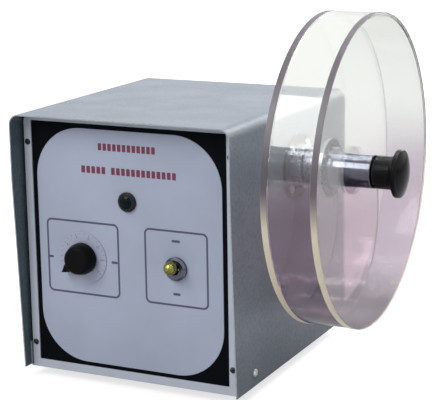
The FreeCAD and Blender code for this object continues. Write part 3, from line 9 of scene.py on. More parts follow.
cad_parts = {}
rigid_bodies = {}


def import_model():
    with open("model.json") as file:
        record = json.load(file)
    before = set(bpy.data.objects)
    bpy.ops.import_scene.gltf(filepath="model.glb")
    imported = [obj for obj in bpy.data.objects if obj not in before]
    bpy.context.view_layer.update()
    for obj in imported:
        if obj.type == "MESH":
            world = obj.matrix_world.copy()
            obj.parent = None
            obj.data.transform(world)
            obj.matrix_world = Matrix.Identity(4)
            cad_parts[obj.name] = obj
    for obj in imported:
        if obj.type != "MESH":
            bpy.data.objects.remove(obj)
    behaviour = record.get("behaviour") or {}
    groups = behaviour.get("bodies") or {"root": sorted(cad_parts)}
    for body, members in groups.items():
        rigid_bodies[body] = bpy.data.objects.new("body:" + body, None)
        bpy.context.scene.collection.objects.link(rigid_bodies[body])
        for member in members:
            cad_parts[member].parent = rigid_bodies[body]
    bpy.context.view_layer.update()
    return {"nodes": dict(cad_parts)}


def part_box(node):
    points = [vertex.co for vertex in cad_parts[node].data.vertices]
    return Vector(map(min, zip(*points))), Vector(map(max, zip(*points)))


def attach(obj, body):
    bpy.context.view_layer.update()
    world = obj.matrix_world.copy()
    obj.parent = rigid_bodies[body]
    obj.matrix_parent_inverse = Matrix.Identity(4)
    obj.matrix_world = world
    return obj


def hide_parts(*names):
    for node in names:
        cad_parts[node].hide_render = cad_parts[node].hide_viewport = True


bl_info = {
    "name": "Friability tester",
    "version": (1, 0, 0),
    "blender": (4, 5, 0),
    "location": "View3D > Sidebar > Tester",
    "description": "Dresses the frame of a friability tester",
    "category": "Object",
}

bpy.ops.object.select_all(action="SELECT")
bpy.ops.object.delete()
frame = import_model()

MM = 0.001
FULL_TURN = 2 * math.pi
EVEN = (1, 1, 1)

# Colours and roughness are spread over this stretch of a noise pattern, which rarely leaves it
NOISE_LOW = 0.3
NOISE_HIGH = 0.7

# Meshes: points nearer than MERGE become one, faces that meet at less than FLAT become one, and edges
# that turn by more than SHARP are rounded
MERGE = 0.002 * MM
FLAT = math.radians(0.5)
SHARP = math.radians(40)

# Part of a face's normal along Y from which it looks to the front or the rear, and part of it along the
# drum's axis from which it belongs to the flat side of a disc
FACES_FRONT = 0.6
FACES_ALONG = 0.8

# Material slots after the first one: painted shade inside the cover's hood, its paler front edge, and a
# disc's sawn edge
INSIDE_SHADE_SLOT = 1
PALE_FRONT_SLOT = 2
SAWN_SLOT = 1

# Rounding of the timer knob's edges, and the angle in degrees up to which the drum is shaded smooth
KNOB_EDGE = 0.4 * MM
DRUM_SMOOTH = 50.0

# Hammered paint: brightness of the ground between the dimples beside that of the paint, and the
# distances from a dimple's middle, in cells, over which it gets there
GROUND_SHADE = 0.72
GROUND_START = 0.1
GROUND_END = 0.75

# Clear sheet: its refraction, the share of the lamps' light that it lets through, and the shares of the
# painted shade's height between which the painted shade stays the same
ACRYLIC_IOR = 1.49
LIGHT_PASSED = 0.86
SHADE_EVEN_LOW = 0.22
SHADE_EVEN_HIGH = 0.60

# How clear the sawn edges are in their painted lit part and above it
LIT_CLEARNESS = 0.35
SAWN_CLEARNESS = 0.86


def tint(description, colour):
    return FloatVectorProperty(name=description, description=f"Colour of the {description.lower()}",
                               subtype="COLOR", size=3, min=0.0, max=1.0, default=colour)


def length(name, description, millimetres):
    return FloatProperty(name=name, description=description, subtype="DISTANCE", unit="LENGTH",
                         min=0.0, default=millimetres * MM)


class CabinetLook(bpy.types.PropertyGroup):
    """Sheet metal of the cabinet."""
    paint: tint("Hammered paint", (0.148, 0.172, 0.208))
    tray: tint("Pale paint", (0.48, 0.52, 0.60))
    panel: tint("Black panel", (0.0015, 0.0022, 0.0035))
    label: tint("Label plate", (0.365, 0.405, 0.515))
    # Painted shade: the inside of the hood gets a darker colour of the paint, standing in for the shade
    # there
    lining: tint("Paint inside the hood", (0.100, 0.142, 0.165))
    # A paler colour of the paint on the cover's faces that look to the front
    worn_edge: tint("Thin paint on the front edge", (0.42, 0.45, 0.48))
    edge: length("Edge", "Rounding of the cut edges of the sheet", 0.25)
    hammer_cell: length("Hammer cell", "Size of one dimple of the hammered paint", 2.4)
    hammer_depth: length("Hammer depth", "Depth of one dimple of the hammered paint", 0.12)


class PrintLook(bpy.types.PropertyGroup):
    """Marks printed on the label plate."""
    ink: tint("Outline ink", (0.070, 0.070, 0.125))
    title_ink: tint("Title ink", (0.150, 0.022, 0.050))
    scale_ink: tint("Scale ink", (0.105, 0.110, 0.165))
    line: length("Line", "Width of the printed outlines", 1.9)
    corner: length("Corner", "Corner radius of the printed outlines", 5.5)
    film: length("Film", "How far the ink stands out", 0.05)
    timer_width: length("Timer outline width", "Outline round the timer", 77.7)
    switch_width: length("Switch outline width", "Outline round the switch", 65.0)
    outline_height: length("Outline height", "Height of both outlines", 71.3)
    block: length("Block", "Height of a block in the title rows", 6.6)
    pitch: length("Block pitch", "From one block of a title row to the next", 5.1)
    block_corner: length("Block corner", "Corner radius of a block in the title rows", 0.5)
    bar: length("Bar", "Height of a small bar beside a control", 2.4)
    figure: length("Figures", "Height of the figures on the dial", 3.0)
    figure_margin: length("Figure margin", "From the dial's edge to its figures", 3.6)
    tick: length("Tick", "Length of a tick without a figure", 1.4)
    tick_long: length("Long tick", "Length of a tick with a figure", 2.6)
    tick_width: length("Tick width", "Width of a tick of the dial", 0.35)
    tick_margin: length("Tick margin", "From the dial's edge to its ticks", 0.9)


class DrumLook(bpy.types.PropertyGroup):
    """Clear drum."""
    acrylic: tint("Acrylic", (0.965, 0.975, 0.955))
    # Painted shade: below the acrylic's own colour, the discs and rim are coloured darker and mauve towards
    # the bottom, the rim almost black at its foot
    acrylic_low: tint("Acrylic, tinted part", (0.775, 0.690, 0.740))
    acrylic_foot: tint("Acrylic, lowest part", (0.580, 0.500, 0.565))
    rim_low: tint("Rim, tinted part", (0.560, 0.490, 0.580))
    rim_foot: tint("Rim, lowest part", (0.035, 0.030, 0.045))
    tint_foot: length("Foot of the tint", "Height at which the tint is deepest", 55.0)
    tint_top: length("Tint of the discs", "Height at which the discs' tint ends", 232.0)
    rim_tint_top: length("Tint of the rim", "Height at which the rim's tint ends", 256.0)
    sawn: tint("Sawn edge", (0.44, 0.37, 0.45))
    # Painted light: the lower part of the sawn edges is coloured cream, as if lit
    sawn_low: tint("Sawn edge, lit part", (0.97, 0.86, 0.66))
    lit_low: length("Lit part, lower end", "Height from which the sawn edges lose their light", 175.0)
    lit_high: length("Lit part, upper end", "Height at which the sawn edges have lost it", 210.0)
    edge: length("Edge", "Rounding of the discs' edges", 0.4)
    back_bore: length("Bore of the back disc", "Radius of its bore, close round the shaft", 6.05)
    lid_bore: length("Bore of the lid", "Radius of its bore, clear of the shaft's thread", 5.3)
    rim_wall: length("Rim wall", "Thickness of the rim", 2.4)
    slack: length("Slack", "How far the round pieces stay inside the CAD radius", 0.06)
    joint: length("Joint", "Gap of the glued joint between a disc and the rim", 0.06)
    steps: IntProperty(name="Steps", description="Segments round the drum", min=32, default=224)


class StudioLook(bpy.types.PropertyGroup):
    """Camera, lamps and floor."""
    camera_place: FloatVectorProperty(name="Camera", description="Place of the camera", size=3,
                                      subtype="TRANSLATION", unit="LENGTH",
                                      default=(0.6006, -1.2685, 0.4826))
    azimuth: FloatProperty(name="Azimuth", description="Camera round the object", subtype="ANGLE",
                           default=math.radians(26.1))
    elevation: FloatProperty(name="Elevation", description="Camera above the level", subtype="ANGLE",
                             default=math.radians(12.85))
    roll: FloatProperty(name="Roll", description="Camera about its own view", subtype="ANGLE",
                        default=math.radians(-0.865))
    lens: FloatProperty(name="Lens", description="Focal length in millimetres", default=122.1)
    target_height: length("Target height", "Height of the point that the lamps face", 160.0)
    floor: tint("Floor", (0.42, 0.42, 0.43))
    floor_glow: FloatProperty(name="Floor glow", description="Light that the floor adds to its own",
                              min=0.0, default=0.72)
    ambient: FloatProperty(name="Ambient", description="Strength of the world on matt surfaces",
                           min=0.0, default=0.36)


# Node trees

class Finish:
    """A material whose colour, roughness and relief come from procedural patterns."""

    def __init__(self, name, colour, metallic=0.0, roughness=0.5, **sockets):
        self.material = bpy.data.materials.new(name)
        self.material.use_nodes = True
        self.nodes = self.material.node_tree.nodes
        self.links = self.material.node_tree.links
        self.shader = self.nodes["Principled BSDF"]
        self.shader.inputs["Base Color"].default_value = (*colour, 1.0)
        self.shader.inputs["Metallic"].default_value = metallic
        self.shader.inputs["Roughness"].default_value = roughness
        for socket, value in sockets.items():
            self.shader.inputs[socket.replace("_", " ")].default_value = value
        self.place = self.nodes.new("ShaderNodeTexCoord").outputs["Object"]

    def stretched(self, scale):
        mapping = self.nodes.new("ShaderNodeMapping")
        mapping.inputs["Scale"].default_value = scale
        self.links.new(self.place, mapping.inputs["Vector"])
        return mapping.outputs["Vector"]

    def noise(self, size, detail=3.0, scale=EVEN):
        """Cloudy noise whose blobs are about that size, in metres."""
        node = self.nodes.new("ShaderNodeTexNoise")
        node.inputs["Scale"].default_value = 1.0 / size
        node.inputs["Detail"].default_value = detail
        self.links.new(self.stretched(scale), node.inputs["Vector"])
        return node.outputs["Fac"]

    def cells(self, size):
        """Distance to the middle of the nearest cell."""
        node = self.nodes.new("ShaderNodeTexVoronoi")
        node.feature = "SMOOTH_F1"
        node.inputs["Scale"].default_value = 1.0 / size
        self.links.new(self.place, node.inputs["Vector"])
        return node.outputs["Distance"]

    def between(self, pattern, low, high, start=NOISE_LOW, end=NOISE_HIGH):
        """Spread that stretch of a pattern, from start to end, over the values from low to high."""
        node = self.nodes.new("ShaderNodeMapRange")
        for socket, value in (("From Min", start), ("From Max", end), ("To Min", low), ("To Max", high)):
            node.inputs[socket].default_value = value
        self.links.new(pattern, node.inputs["Value"])
        return node.outputs["Result"]

    def colours(self, pattern, first, second, start=NOISE_LOW, end=NOISE_HIGH):
        node = self.nodes.new("ShaderNodeMix")
        node.data_type = "RGBA"
        node.inputs["A"].default_value = (*first, 1.0)
        node.inputs["B"].default_value = (*second, 1.0)
        self.links.new(self.between(pattern, 0.0, 1.0, start, end), node.inputs["Factor"])
        self.links.new(node.outputs["Result"], self.shader.inputs["Base Color"])
        return self

    def rough(self, pattern, low, high):
        self.links.new(self.between(pattern, low, high), self.shader.inputs["Roughness"])
        return self

    def relief(self, pattern, height, strength=1.0):
        """Bump of that height, in metres."""
        node = self.nodes.new("ShaderNodeBump")
        node.inputs["Strength"].default_value = strength
        node.inputs["Distance"].default_value = height
        self.links.new(pattern, node.inputs["Height"])
        before = self.shader.inputs["Normal"]
        if before.is_linked:
            self.links.new(before.links[0].from_socket, node.inputs["Normal"])
        self.links.new(node.outputs["Normal"], before)
        return self

    def height(self):
        """Height above the floor at rest."""
        split = self.nodes.new("ShaderNodeSeparateXYZ")
        self.links.new(self.place, split.inputs["Vector"])
        return split.outputs["Z"]

    def lets_light_through(self, share):
        """Let that share of the lamps' light pass straight through the piece."""
        rays = self.nodes.new("ShaderNodeLightPath")
        passing = self.nodes.new("ShaderNodeBsdfTransparent")
        passing.inputs["Color"].default_value = (share, share, share, 1.0)
        either = self.nodes.new("ShaderNodeMixShader")
        self.links.new(rays.outputs["Is Shadow Ray"], either.inputs[0])
        self.links.new(self.shader.outputs[0], either.inputs[1])
        self.links.new(passing.outputs[0], either.inputs[2])
        self.links.new(either.outputs[0], self.nodes["Material Output"].inputs["Surface"])
        return self.material

    def tinted(self, low, high, *stops):
        """Painted shade by height: each stop is a share of the way from low to high, and its colour."""
        ramp = self.nodes.new("ShaderNodeValToRGB")
        ramp.color_ramp.interpolation = "EASE"
        for share, _ in stops[2:]:
            ramp.color_ramp.elements.new(share)
        for element, (share, colour) in zip(ramp.color_ramp.elements, stops):
            element.position = share
            element.color = (*colour, 1.0)
        self.links.new(self.between(self.height(), 0.0, 1.0, low, high), ramp.inputs["Fac"])
        self.links.new(ramp.outputs["Color"], self.shader.inputs["Base Color"])


def shade(colour, factor):
    return tuple(min(1.0, channel * factor) for channel in colour)


def hammered_paint(name, colour, look):
    finish = Finish(name, colour, 0.0, 0.38, Specular_IOR_Level=0.32)
    cells = finish.cells(look.hammer_cell)
    finish.colours(cells, colour, shade(colour, GROUND_SHADE), GROUND_START, GROUND_END)
    finish.rough(finish.noise(50 * MM), 0.32, 0.44)
    finish.relief(cells, look.hammer_depth, 0.5)
    return finish.relief(finish.noise(0.5 * MM), 0.02 * MM, 0.4).material


def plain_finish(name, colour, metallic, roughness, patch, rough, grain=0.0, depth=0.0, strength=0.5,
                 patch_stretch=EVEN, grain_stretch=EVEN, mottle=(), mottle_size=0.0, **sockets):
    """A finish with patches of other roughness, a fine grain and, where given, a mottled colour.

    The patches, the grain, its depth and the mottle are in millimetres.
    """
    finish = Finish(name, colour, metallic, roughness, **sockets)
    if mottle:
        finish.colours(finish.noise(mottle_size * MM), *mottle)
    finish.rough(finish.noise(patch * MM, scale=patch_stretch), *rough)
    if grain:
        finish.relief(finish.noise(grain * MM, scale=grain_stretch), depth * MM, strength)
    return finish.material


def pale_paint(look):
    return plain_finish("pale_paint", look.tray, 0.0, 0.40, patch=20, rough=(0.34, 0.46), grain=0.9,
                        depth=0.015, mottle=(shade(look.tray, 0.95), shade(look.tray, 1.04)),
                        mottle_size=30, Specular_IOR_Level=0.4)


def black_enamel(look):
    return plain_finish("black_enamel", look.panel, 0.0, 0.6, patch=15, rough=(0.55, 0.70), grain=0.7,
                        depth=0.01, strength=0.4, Specular_IOR_Level=0.05)


def printed_plate(look):
    return plain_finish("printed_plate", look.label, 0.0, 0.45, patch=10, rough=(0.40, 0.52), grain=0.5,
                        depth=0.004, grain_stretch=(1, 1, 0.1), mottle_size=60,
                        mottle=(shade(look.label, 0.94), shade(look.label, 1.05)),
                        Specular_IOR_Level=0.35)


def ink(name, colour):
    return plain_finish(name, colour, 0.0, 0.5, patch=0.8, rough=(0.42, 0.6), mottle_size=0.6,
                        mottle=(shade(colour, 0.8), shade(colour, 1.25)))


def black_moulding(name, low, high, shine=0.32):
    """Black plastic whose roughness lies between low and high."""
    return plain_finish(name, (0.0045, 0.0045, 0.005), 0.0, low, patch=5, rough=(low, high), grain=0.8,
                        depth=0.006, strength=0.4, Specular_IOR_Level=shine)


# Finishes of the pieces that keep the frame's own mesh, as plain_finish takes them
FINISHES = {
    "zinc_plate": dict(
        colour=(0.60, 0.61, 0.62), metallic=1.0, roughness=0.32, patch=1, rough=(0.25, 0.42),
        grain=0.3, depth=0.006, mottle=((0.52, 0.53, 0.55), (0.68, 0.68, 0.66)), mottle_size=3),
    "ground_steel": dict(
        colour=(0.58, 0.59, 0.61), metallic=1.0, roughness=0.2, patch=0.4, rough=(0.14, 0.28),
        grain=0.25, depth=0.002, patch_stretch=(8, 1, 1), grain_stretch=(8, 1, 1)),
    "bright_chrome": dict(
        colour=(0.21, 0.22, 0.27), metallic=1.0, roughness=0.12, patch=6, rough=(0.06, 0.13),
        grain=4, depth=0.004, strength=0.3),
    "dark_chrome": dict(
        colour=(0.13, 0.135, 0.19), metallic=1.0, roughness=0.2, patch=2, rough=(0.12, 0.22),
        grain=0.5, depth=0.003, strength=0.4),
    "turned_aluminium": dict(
        colour=(0.44, 0.44, 0.50), metallic=1.0, roughness=0.24, patch=2, rough=(0.22, 0.36),
        grain=0.3, depth=0.002, strength=0.3, grain_stretch=(6, 0.4, 0.4)),
    "cast_aluminium": dict(
        colour=(0.50, 0.51, 0.53), metallic=1.0, roughness=0.5, patch=3, rough=(0.42, 0.6),
        grain=0.8, depth=0.05, strength=0.6),
    "drawn_can": dict(
        colour=(0.62, 0.63, 0.64), metallic=1.0, roughness=0.35, patch=2, rough=(0.28, 0.42),
        grain=0.6, depth=0.004, patch_stretch=(1, 1, 0.1), grain_stretch=(1, 1, 0.1)),
    "polished_brass": dict(
        colour=(0.29, 0.285, 0.06), metallic=1.0, roughness=0.16, patch=2, rough=(0.12, 0.26),
        grain=0.4, depth=0.004, strength=0.4, mottle=((0.22, 0.21, 0.045), (0.36, 0.345, 0.10)),
        mottle_size=3),
    "dial_silver": dict(
        colour=(0.39, 0.415, 0.535), metallic=0.2, roughness=0.42, patch=0.5, rough=(0.32, 0.46),
        grain=0.3, depth=0.003, Specular_IOR_Level=0.3),
    "black_metal": dict(
        colour=(0.010, 0.010, 0.013), metallic=0.0, roughness=0.38, patch=4, rough=(0.30, 0.48),
        grain=0.6, depth=0.01, Specular_IOR_Level=0.35),
    "motor_enamel": dict(
        colour=(0.10, 0.13, 0.16), metallic=0.0, roughness=0.4, patch=8, rough=(0.34, 0.5),
        grain=1.2, depth=0.02),
    "black_rubber": dict(
        colour=(0.018, 0.018, 0.018), metallic=0.0, roughness=0.75, patch=3, rough=(0.65, 0.85),
        grain=0.4, depth=0.02, strength=0.6, Specular_IOR_Level=0.3),
    "white_moulding": dict(
        colour=(0.70, 0.70, 0.66), metallic=0.0, roughness=0.45, patch=3, rough=(0.4, 0.55),
        grain=0.6, depth=0.01, strength=0.4, Subsurface_Weight=0.1),
    "dark_lens": dict(
        colour=(0.001, 0.007, 0.007), metallic=0.0, roughness=0.10, patch=2, rough=(0.05, 0.14),
        grain=1.2, depth=0.01, strength=0.3, Specular_IOR_Level=0.10),
    "fuse_glass": dict(
        colour=(0.85, 0.88, 0.87), metallic=0.0, roughness=0.04, patch=2, rough=(0.02, 0.08),
        Transmission_Weight=0.9),
}


def finished(name):
    """The finish of that name from the table."""
    return plain_finish(name, **FINISHES[name])


def clear_acrylic(name, look, top, deepest, deep):
    """Polished sheet, faint waviness, hairline wear from wiping, and painted shade darker towards the
    bottom.
    """
    finish = Finish(name, look.acrylic, 0.0, 0.03, Transmission_Weight=1.0, IOR=ACRYLIC_IOR)
    finish.tinted(look.tint_foot, top, (0.0, deepest), (SHADE_EVEN_LOW, deep), (SHADE_EVEN_HIGH, deep),
                  (1.0, look.acrylic))
    finish.rough(finish.noise(12 * MM), 0.01, 0.05)
    finish.relief(finish.noise(30 * MM, 1.0), 0.03 * MM, 0.15)
    return finish.lets_light_through(LIGHT_PASSED)


def sawn_acrylic(look):
    """Edge of a disc, sawn and rubbed down, with painted light: cream on its lower part, darker above."""
    finish = Finish("sawn_acrylic", look.sawn, 0.0, 0.2, IOR=ACRYLIC_IOR)
    finish.colours(finish.height(), look.sawn_low, look.sawn, look.lit_low, look.lit_high)
    clearness = finish.between(finish.height(), LIT_CLEARNESS, SAWN_CLEARNESS, look.lit_low,
                               look.lit_high)
    finish.links.new(clearness, finish.shader.inputs["Transmission Weight"])
    finish.rough(finish.noise(6 * MM), 0.34, 0.46)
    return finish.relief(finish.noise(4 * MM), 0.01 * MM, 0.2).material


# Helpers for pieces

def deselect():
    """Leave edit mode and select nothing."""
    if bpy.context.object and bpy.context.object.mode != "OBJECT":
        bpy.ops.object.mode_set(mode="OBJECT")
    bpy.ops.object.select_all(action="DESELECT")


def only(piece):
    """Select that piece alone."""
    deselect()
    piece.select_set(True)
    bpy.context.view_layer.objects.active = piece


def edit(piece):
    """Open a piece in edit mode with all of it selected."""
    only(piece)
    bpy.ops.object.mode_set(mode="EDIT")
    bpy.ops.mesh.select_all(action="SELECT")


def leave():
    """Go back to object mode."""
    bpy.ops.object.mode_set(mode="OBJECT")


def modify(piece, kind, **settings):
    """Add a modifier and apply it."""
    only(piece)
    modifier = piece.modifiers.new(kind.title(), kind)
    for setting, value in settings.items():
        setattr(modifier, setting, value)
    bpy.ops.object.modifier_apply(modifier=modifier.name)


def named(name):
    """Give the active object and its mesh that name."""
    piece = bpy.context.object
    piece.name = name
    piece.data.name = name
    return piece


def settle(piece, body, slot, *materials, replaced=(), angle=35.0):
    """Shade, paint and hand over a finished piece: its place goes into its mesh."""
    only(piece)
    bpy.ops.object.transform_apply(location=True, rotation=True, scale=True)
    bpy.ops.object.shade_smooth_by_angle(angle=math.radians(angle))
    modify(piece, "WEIGHTED_NORMAL", mode="FACE_AREA", weight=50, keep_sharp=True)
    piece.data.materials.clear()
    for material in materials:
        piece.data.materials.append(material)
    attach(piece, body)
    if replaced:
        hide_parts(*replaced)
    return piece


def paint(material, *nodes):
    """Give frame nodes a finish in their own slots."""
    for node in nodes:
        for slot in frame["nodes"][node].material_slots:
            slot.material = material


def dressed_copy(node, name, body, slot, material, edge):
    """A frame node with its facets merged and its edges rounded."""
    piece = bpy.data.objects.new(name, frame["nodes"][node].data.copy())
    bpy.context.scene.collection.objects.link(piece)
    edit(piece)
    bpy.ops.mesh.customdata_custom_splitnormals_clear()
    bpy.ops.mesh.remove_doubles(threshold=MERGE)
    bpy.ops.mesh.dissolve_limited(angle_limit=FLAT)
    leave()
    modify(piece, "BEVEL", width=edge, segments=2, limit_method="ANGLE", angle_limit=SHARP,
           use_clamp_overlap=True)
    return settle(piece, body, slot, material, replaced=(node,))


def middle_of(node):
    low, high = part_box(node)
    return (low + high) / 2


def lathe(name, section, steps):
    """Turn a closed section of (radius, along X) points about the drum's axis."""
    axis = middle_of("drum_hub")
    deselect()
    bpy.ops.mesh.primitive_circle_add(vertices=len(section), radius=1.0)
    piece = named(name)
    for vertex, (radius, along) in zip(piece.data.vertices, section):
        vertex.co = Vector((along, axis.y, axis.z + radius))
    edit(piece)
    bpy.ops.mesh.spin(steps=steps, angle=FULL_TURN, center=(0.0, axis.y, axis.z), axis=(1, 0, 0))
    bpy.ops.mesh.select_all(action="SELECT")
    bpy.ops.mesh.remove_doubles(threshold=MERGE)
    bpy.ops.mesh.normals_make_consistent(inside=False)
    leave()
    return piece


def ring_section(inner, outer, low, high, edge, steps=3):
    """Corner-rounded section between two radii and two places along the axis.

    Each corner has the middle of its arc and the angle in degrees where the arc starts.
    """
    corners = ((inner + edge, low + edge, 180), (outer - edge, low + edge, 270),
               (outer - edge, high - edge, 0), (inner + edge, high - edge, 90))
    section = []
    for radius, along, start in corners:
        for step in range(steps + 1):
            turn = math.radians(start + 90.0 * step / steps)
            section.append((radius + edge * math.cos(turn), along + edge * math.sin(turn)))
    return section


def mark_edges(piece):
    """Sawn material on the faces of a disc that look away from the axis or towards it."""
    for face in piece.data.polygons:
        if abs(face.normal.x) < FACES_ALONG:
            face.material_index = SAWN_SLOT


# Printed marks

# Corner radius of a bar as a share of its smaller side, and width of a block as a share of its pitch
BAR_ROUNDING = 0.42
BLOCK_SHARE = 0.72
BLOCK_CORNER_STEPS = 2

# Rows of blocks in the place of the title: name, left and right end from the label's middle, and height
# above the lamp, in millimetres
TITLE_ROWS = (
    ("title_row_high", -30.1, 30.4, 49.4),
    ("title_row_left", -48.4, -21.6, 27.4),
    ("title_row_right", -16.8, 51.2, 27.4),
)

# Small bars: name, node that it stands by, how far to the right of that node's middle and above it, and
# width, in millimetres
BARS = (
    ("mark_upper", "switch_nut", 0.0, 25.5, 8.5),
    ("mark_lower", "switch_nut", 0.0, -24.2, 7.5),
    ("mark_left", "timer_dial", -34.9, -1.8, 5.0),
    ("mark_right", "timer_dial", 33.6, -1.2, 6.5),
)

# Scale of minutes on the dial: angles in degrees, from the right-hand side anticlockwise
SCALE_START = 216.0
SCALE_SWEEP = 252.0
MINUTES = 21
MINUTES_PER_FIGURE = 3


def plate(name, x, z, width, height, corner, segments=6):
    """A thin sheet on the label, facing the front, with rounded corners."""
    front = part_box("label_plate")[0].y
    deselect()
    bpy.ops.mesh.primitive_plane_add(size=1.0, location=(x, front, z), rotation=(math.pi / 2, 0, 0))
    piece = named(name)
    piece.scale = (width, height, 1.0)
    bpy.ops.object.transform_apply(location=False, rotation=False, scale=True)
    if corner > 0:
        edit(piece)
        bpy.ops.mesh.bevel(offset=corner, segments=segments, affect="VERTICES", clamp_overlap=True)
        leave()
    return piece


def raise_film(piece, height):
    """Give a printed mark its thickness, from the label outwards."""
    edit(piece)
    bpy.ops.mesh.extrude_region_move(TRANSFORM_OT_translate={"value": (0, -height, 0)})
    bpy.ops.mesh.select_all(action="SELECT")
    bpy.ops.mesh.normals_make_consistent(inside=False)
    leave()


def outline_mark(name, x, z, width, height, look, material):
    piece = plate(name, x, z, width, height, look.corner)
    edit(piece)
    bpy.ops.mesh.inset(thickness=look.line, depth=0)
    bpy.ops.mesh.delete(type="FACE")
    leave()
    raise_film(piece, look.film)
    return settle(piece, "cabinet", "label_pale", material)


def bar_mark(name, x, z, width, height, look, material):
    piece = plate(name, x, z, width, height, min(width, height) * BAR_ROUNDING)
    raise_film(piece, look.film)
    return settle(piece, "cabinet", "label_pale", material)


def block_row(name, low, high, z, look, material):
    """A row of plain upright blocks between two places on the label."""
    count = round((high - low) / look.pitch)
    pitch = (high - low) / count
    row = []
    for step in range(count):
        piece = plate(name, low + (step + 0.5) * pitch, z, pitch * BLOCK_SHARE, look.block,
                      look.block_corner, BLOCK_CORNER_STEPS)
        raise_film(piece, look.film)
        row.append(piece)
    return settle(joined(name, row), "cabinet", "label_pale", material)


def joined(name, pieces):
    """Make one piece of several."""
    deselect()
    for piece in pieces:
        piece.select_set(True)
    bpy.context.view_layer.objects.active = pieces[0]
    bpy.ops.object.join()
    return named(name)


def dial_spot(minute, margin):
    """Turn of that minute on the dial's scale, and its point that far inside the dial's edge."""
    low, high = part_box("timer_dial")
    centre = (low + high) / 2
    turn = math.radians(SCALE_START - SCALE_SWEEP * minute / MINUTES)
    reach = (high.x - low.x) / 2 - margin
    return turn, (centre.x + reach * math.cos(turn), low.y, centre.z + reach * math.sin(turn))


def dial_tick(minute, look):
    size = look.tick if minute % MINUTES_PER_FIGURE else look.tick_long
    turn, spot = dial_spot(minute, look.tick_margin + size / 2)
    deselect()
    bpy.ops.mesh.primitive_cube_add(size=1.0, rotation=(0, -turn, 0), location=spot)
    tick = bpy.context.object
    tick.scale = (size, 2 * look.film, look.tick_width)
    bpy.ops.object.transform_apply(location=True, rotation=True, scale=True)
    return tick


def dial_figure(minute, look):
    spot = dial_spot(minute, look.figure_margin + look.figure / 2)[1]
    deselect()
    bpy.ops.object.text_add()
    text = bpy.context.object.data
    text.body = str(minute)
    text.size = look.figure
    text.align_x = "CENTER"
    text.align_y = "CENTER"
    text.extrude = look.film
    bpy.ops.object.convert(target="MESH")
    figure = bpy.context.object
    figure.rotation_euler = (math.pi / 2, 0, 0)
    figure.location = spot
    bpy.ops.object.transform_apply(location=True, rotation=True, scale=True)
    return figure


# Steps that dress the tester, one operator each

class TESTER_OT_cabinet(bpy.types.Operator):
    """Finish the folded cover and tray, the black panel, the label plate and the feet"""
    bl_idname = "tester.cabinet"
    bl_label = "Cabinet"

    def execute(self, context):
        look = context.scene.tester_cabinet
        shell = dressed_copy("cover", "cover_shell", "cabinet", "hammered_paint",
                             hammered_paint("hammered_paint", look.paint, look), look.edge)
        # Second slot: painted shade, a darker paint on the hood's inner faces
        shell.data.materials.append(hammered_paint("hood_painted_shade", look.lining, look))
        # Third slot: a paler paint on the faces that look to the front
        shell.data.materials.append(hammered_paint("worn_edge", look.worn_edge, look))
        middle = middle_of("cover")
        for face in shell.data.polygons:
            outwards = face.center - middle
            outwards.y = 0
            # Faces that look to the front get the paler colour
            if face.normal.y < -FACES_FRONT:
                face.material_index = PALE_FRONT_SLOT
            # Inner faces of the hood get the painted shade
            elif abs(face.normal.y) < FACES_FRONT and face.normal.dot(outwards) < 0:
                face.material_index = INSIDE_SHADE_SLOT
        dressed_copy("base_tray", "tray_shell", "cabinet", "pale_paint", pale_paint(look), look.edge)
        paint(black_enamel(look), "front_panel")
        dressed_copy("label_plate", "label_sheet", "cabinet", "label_pale", printed_plate(look),
                     look.edge / 2)
        paint(finished("black_rubber"), "rubber_feet", "knob_washer")
        return {"FINISHED"}


class TESTER_OT_print(bpy.types.Operator):
    """Print the outlines round the timer and the switch, the plain title rows and the small marks"""
    bl_idname = "tester.print"
    bl_label = "Printed marks"

    def execute(self, context):
        look = context.scene.tester_print
        dark = ink("outline_ink", look.ink)
        red = ink("title_ink", look.title_ink)
        middle = middle_of("label_plate").x
        timer = middle_of("timer_dial")
        switch = middle_of("switch_nut")
        lamp = middle_of("lamp_lens")
        outline_mark("timer_outline", timer.x, timer.z, look.timer_width, look.outline_height, look, dark)
        outline_mark("switch_outline", switch.x, switch.z, look.switch_width, look.outline_height,
                     look, dark)
        for name, left, right, above in TITLE_ROWS:
            block_row(name, middle + left * MM, middle + right * MM, lamp.z + above * MM, look, red)
        for name, node, aside, above, wide in BARS:
            control = middle_of(node)
            bar_mark(name, control.x + aside * MM, control.z + above * MM, wide * MM, look.bar, look, dark)
        return {"FINISHED"}


class TESTER_OT_dial(bpy.types.Operator):
    """Finish the timer's dial, with its scale of minutes"""
    bl_idname = "tester.dial"
    bl_label = "Timer dial"

    def execute(self, context):
        look = context.scene.tester_print
        paint(finished("dial_silver"), "timer_dial")
        dark = ink("scale_ink", look.scale_ink)
        ticks = [dial_tick(minute, look) for minute in range(MINUTES + 1)]
        settle(joined("dial_scale", ticks), "cabinet", "dial_grey", dark)
        figures = [dial_figure(minute, look) for minute in range(0, MINUTES + 1, MINUTES_PER_FIGURE)]
        settle(joined("dial_figures", figures), "cabinet", "dial_grey", dark)
        return {"FINISHED"}


class TESTER_OT_controls(bpy.types.Operator):
    """Finish the timer knob, the toggle switch and the pilot lamp"""
    bl_idname = "tester.controls"
    bl_label = "Controls"

    def execute(self, context):
        black = black_moulding("knob_black", 0.28, 0.40, 0.06)
        dressed_copy("timer_knob", "timer_pointer_knob", "timer", "knob_black", black, KNOB_EDGE)
        paint(finished("dark_chrome"), "switch_nut", "switch_body")
        paint(finished("polished_brass"), "switch_lever")
        paint(black_moulding("bezel_black", 0.3, 0.45), "lamp_bezel", "lamp_body", "lamp_nut", "timer_body")
        paint(finished("dark_lens"), "lamp_lens")
        return {"FINISHED"}


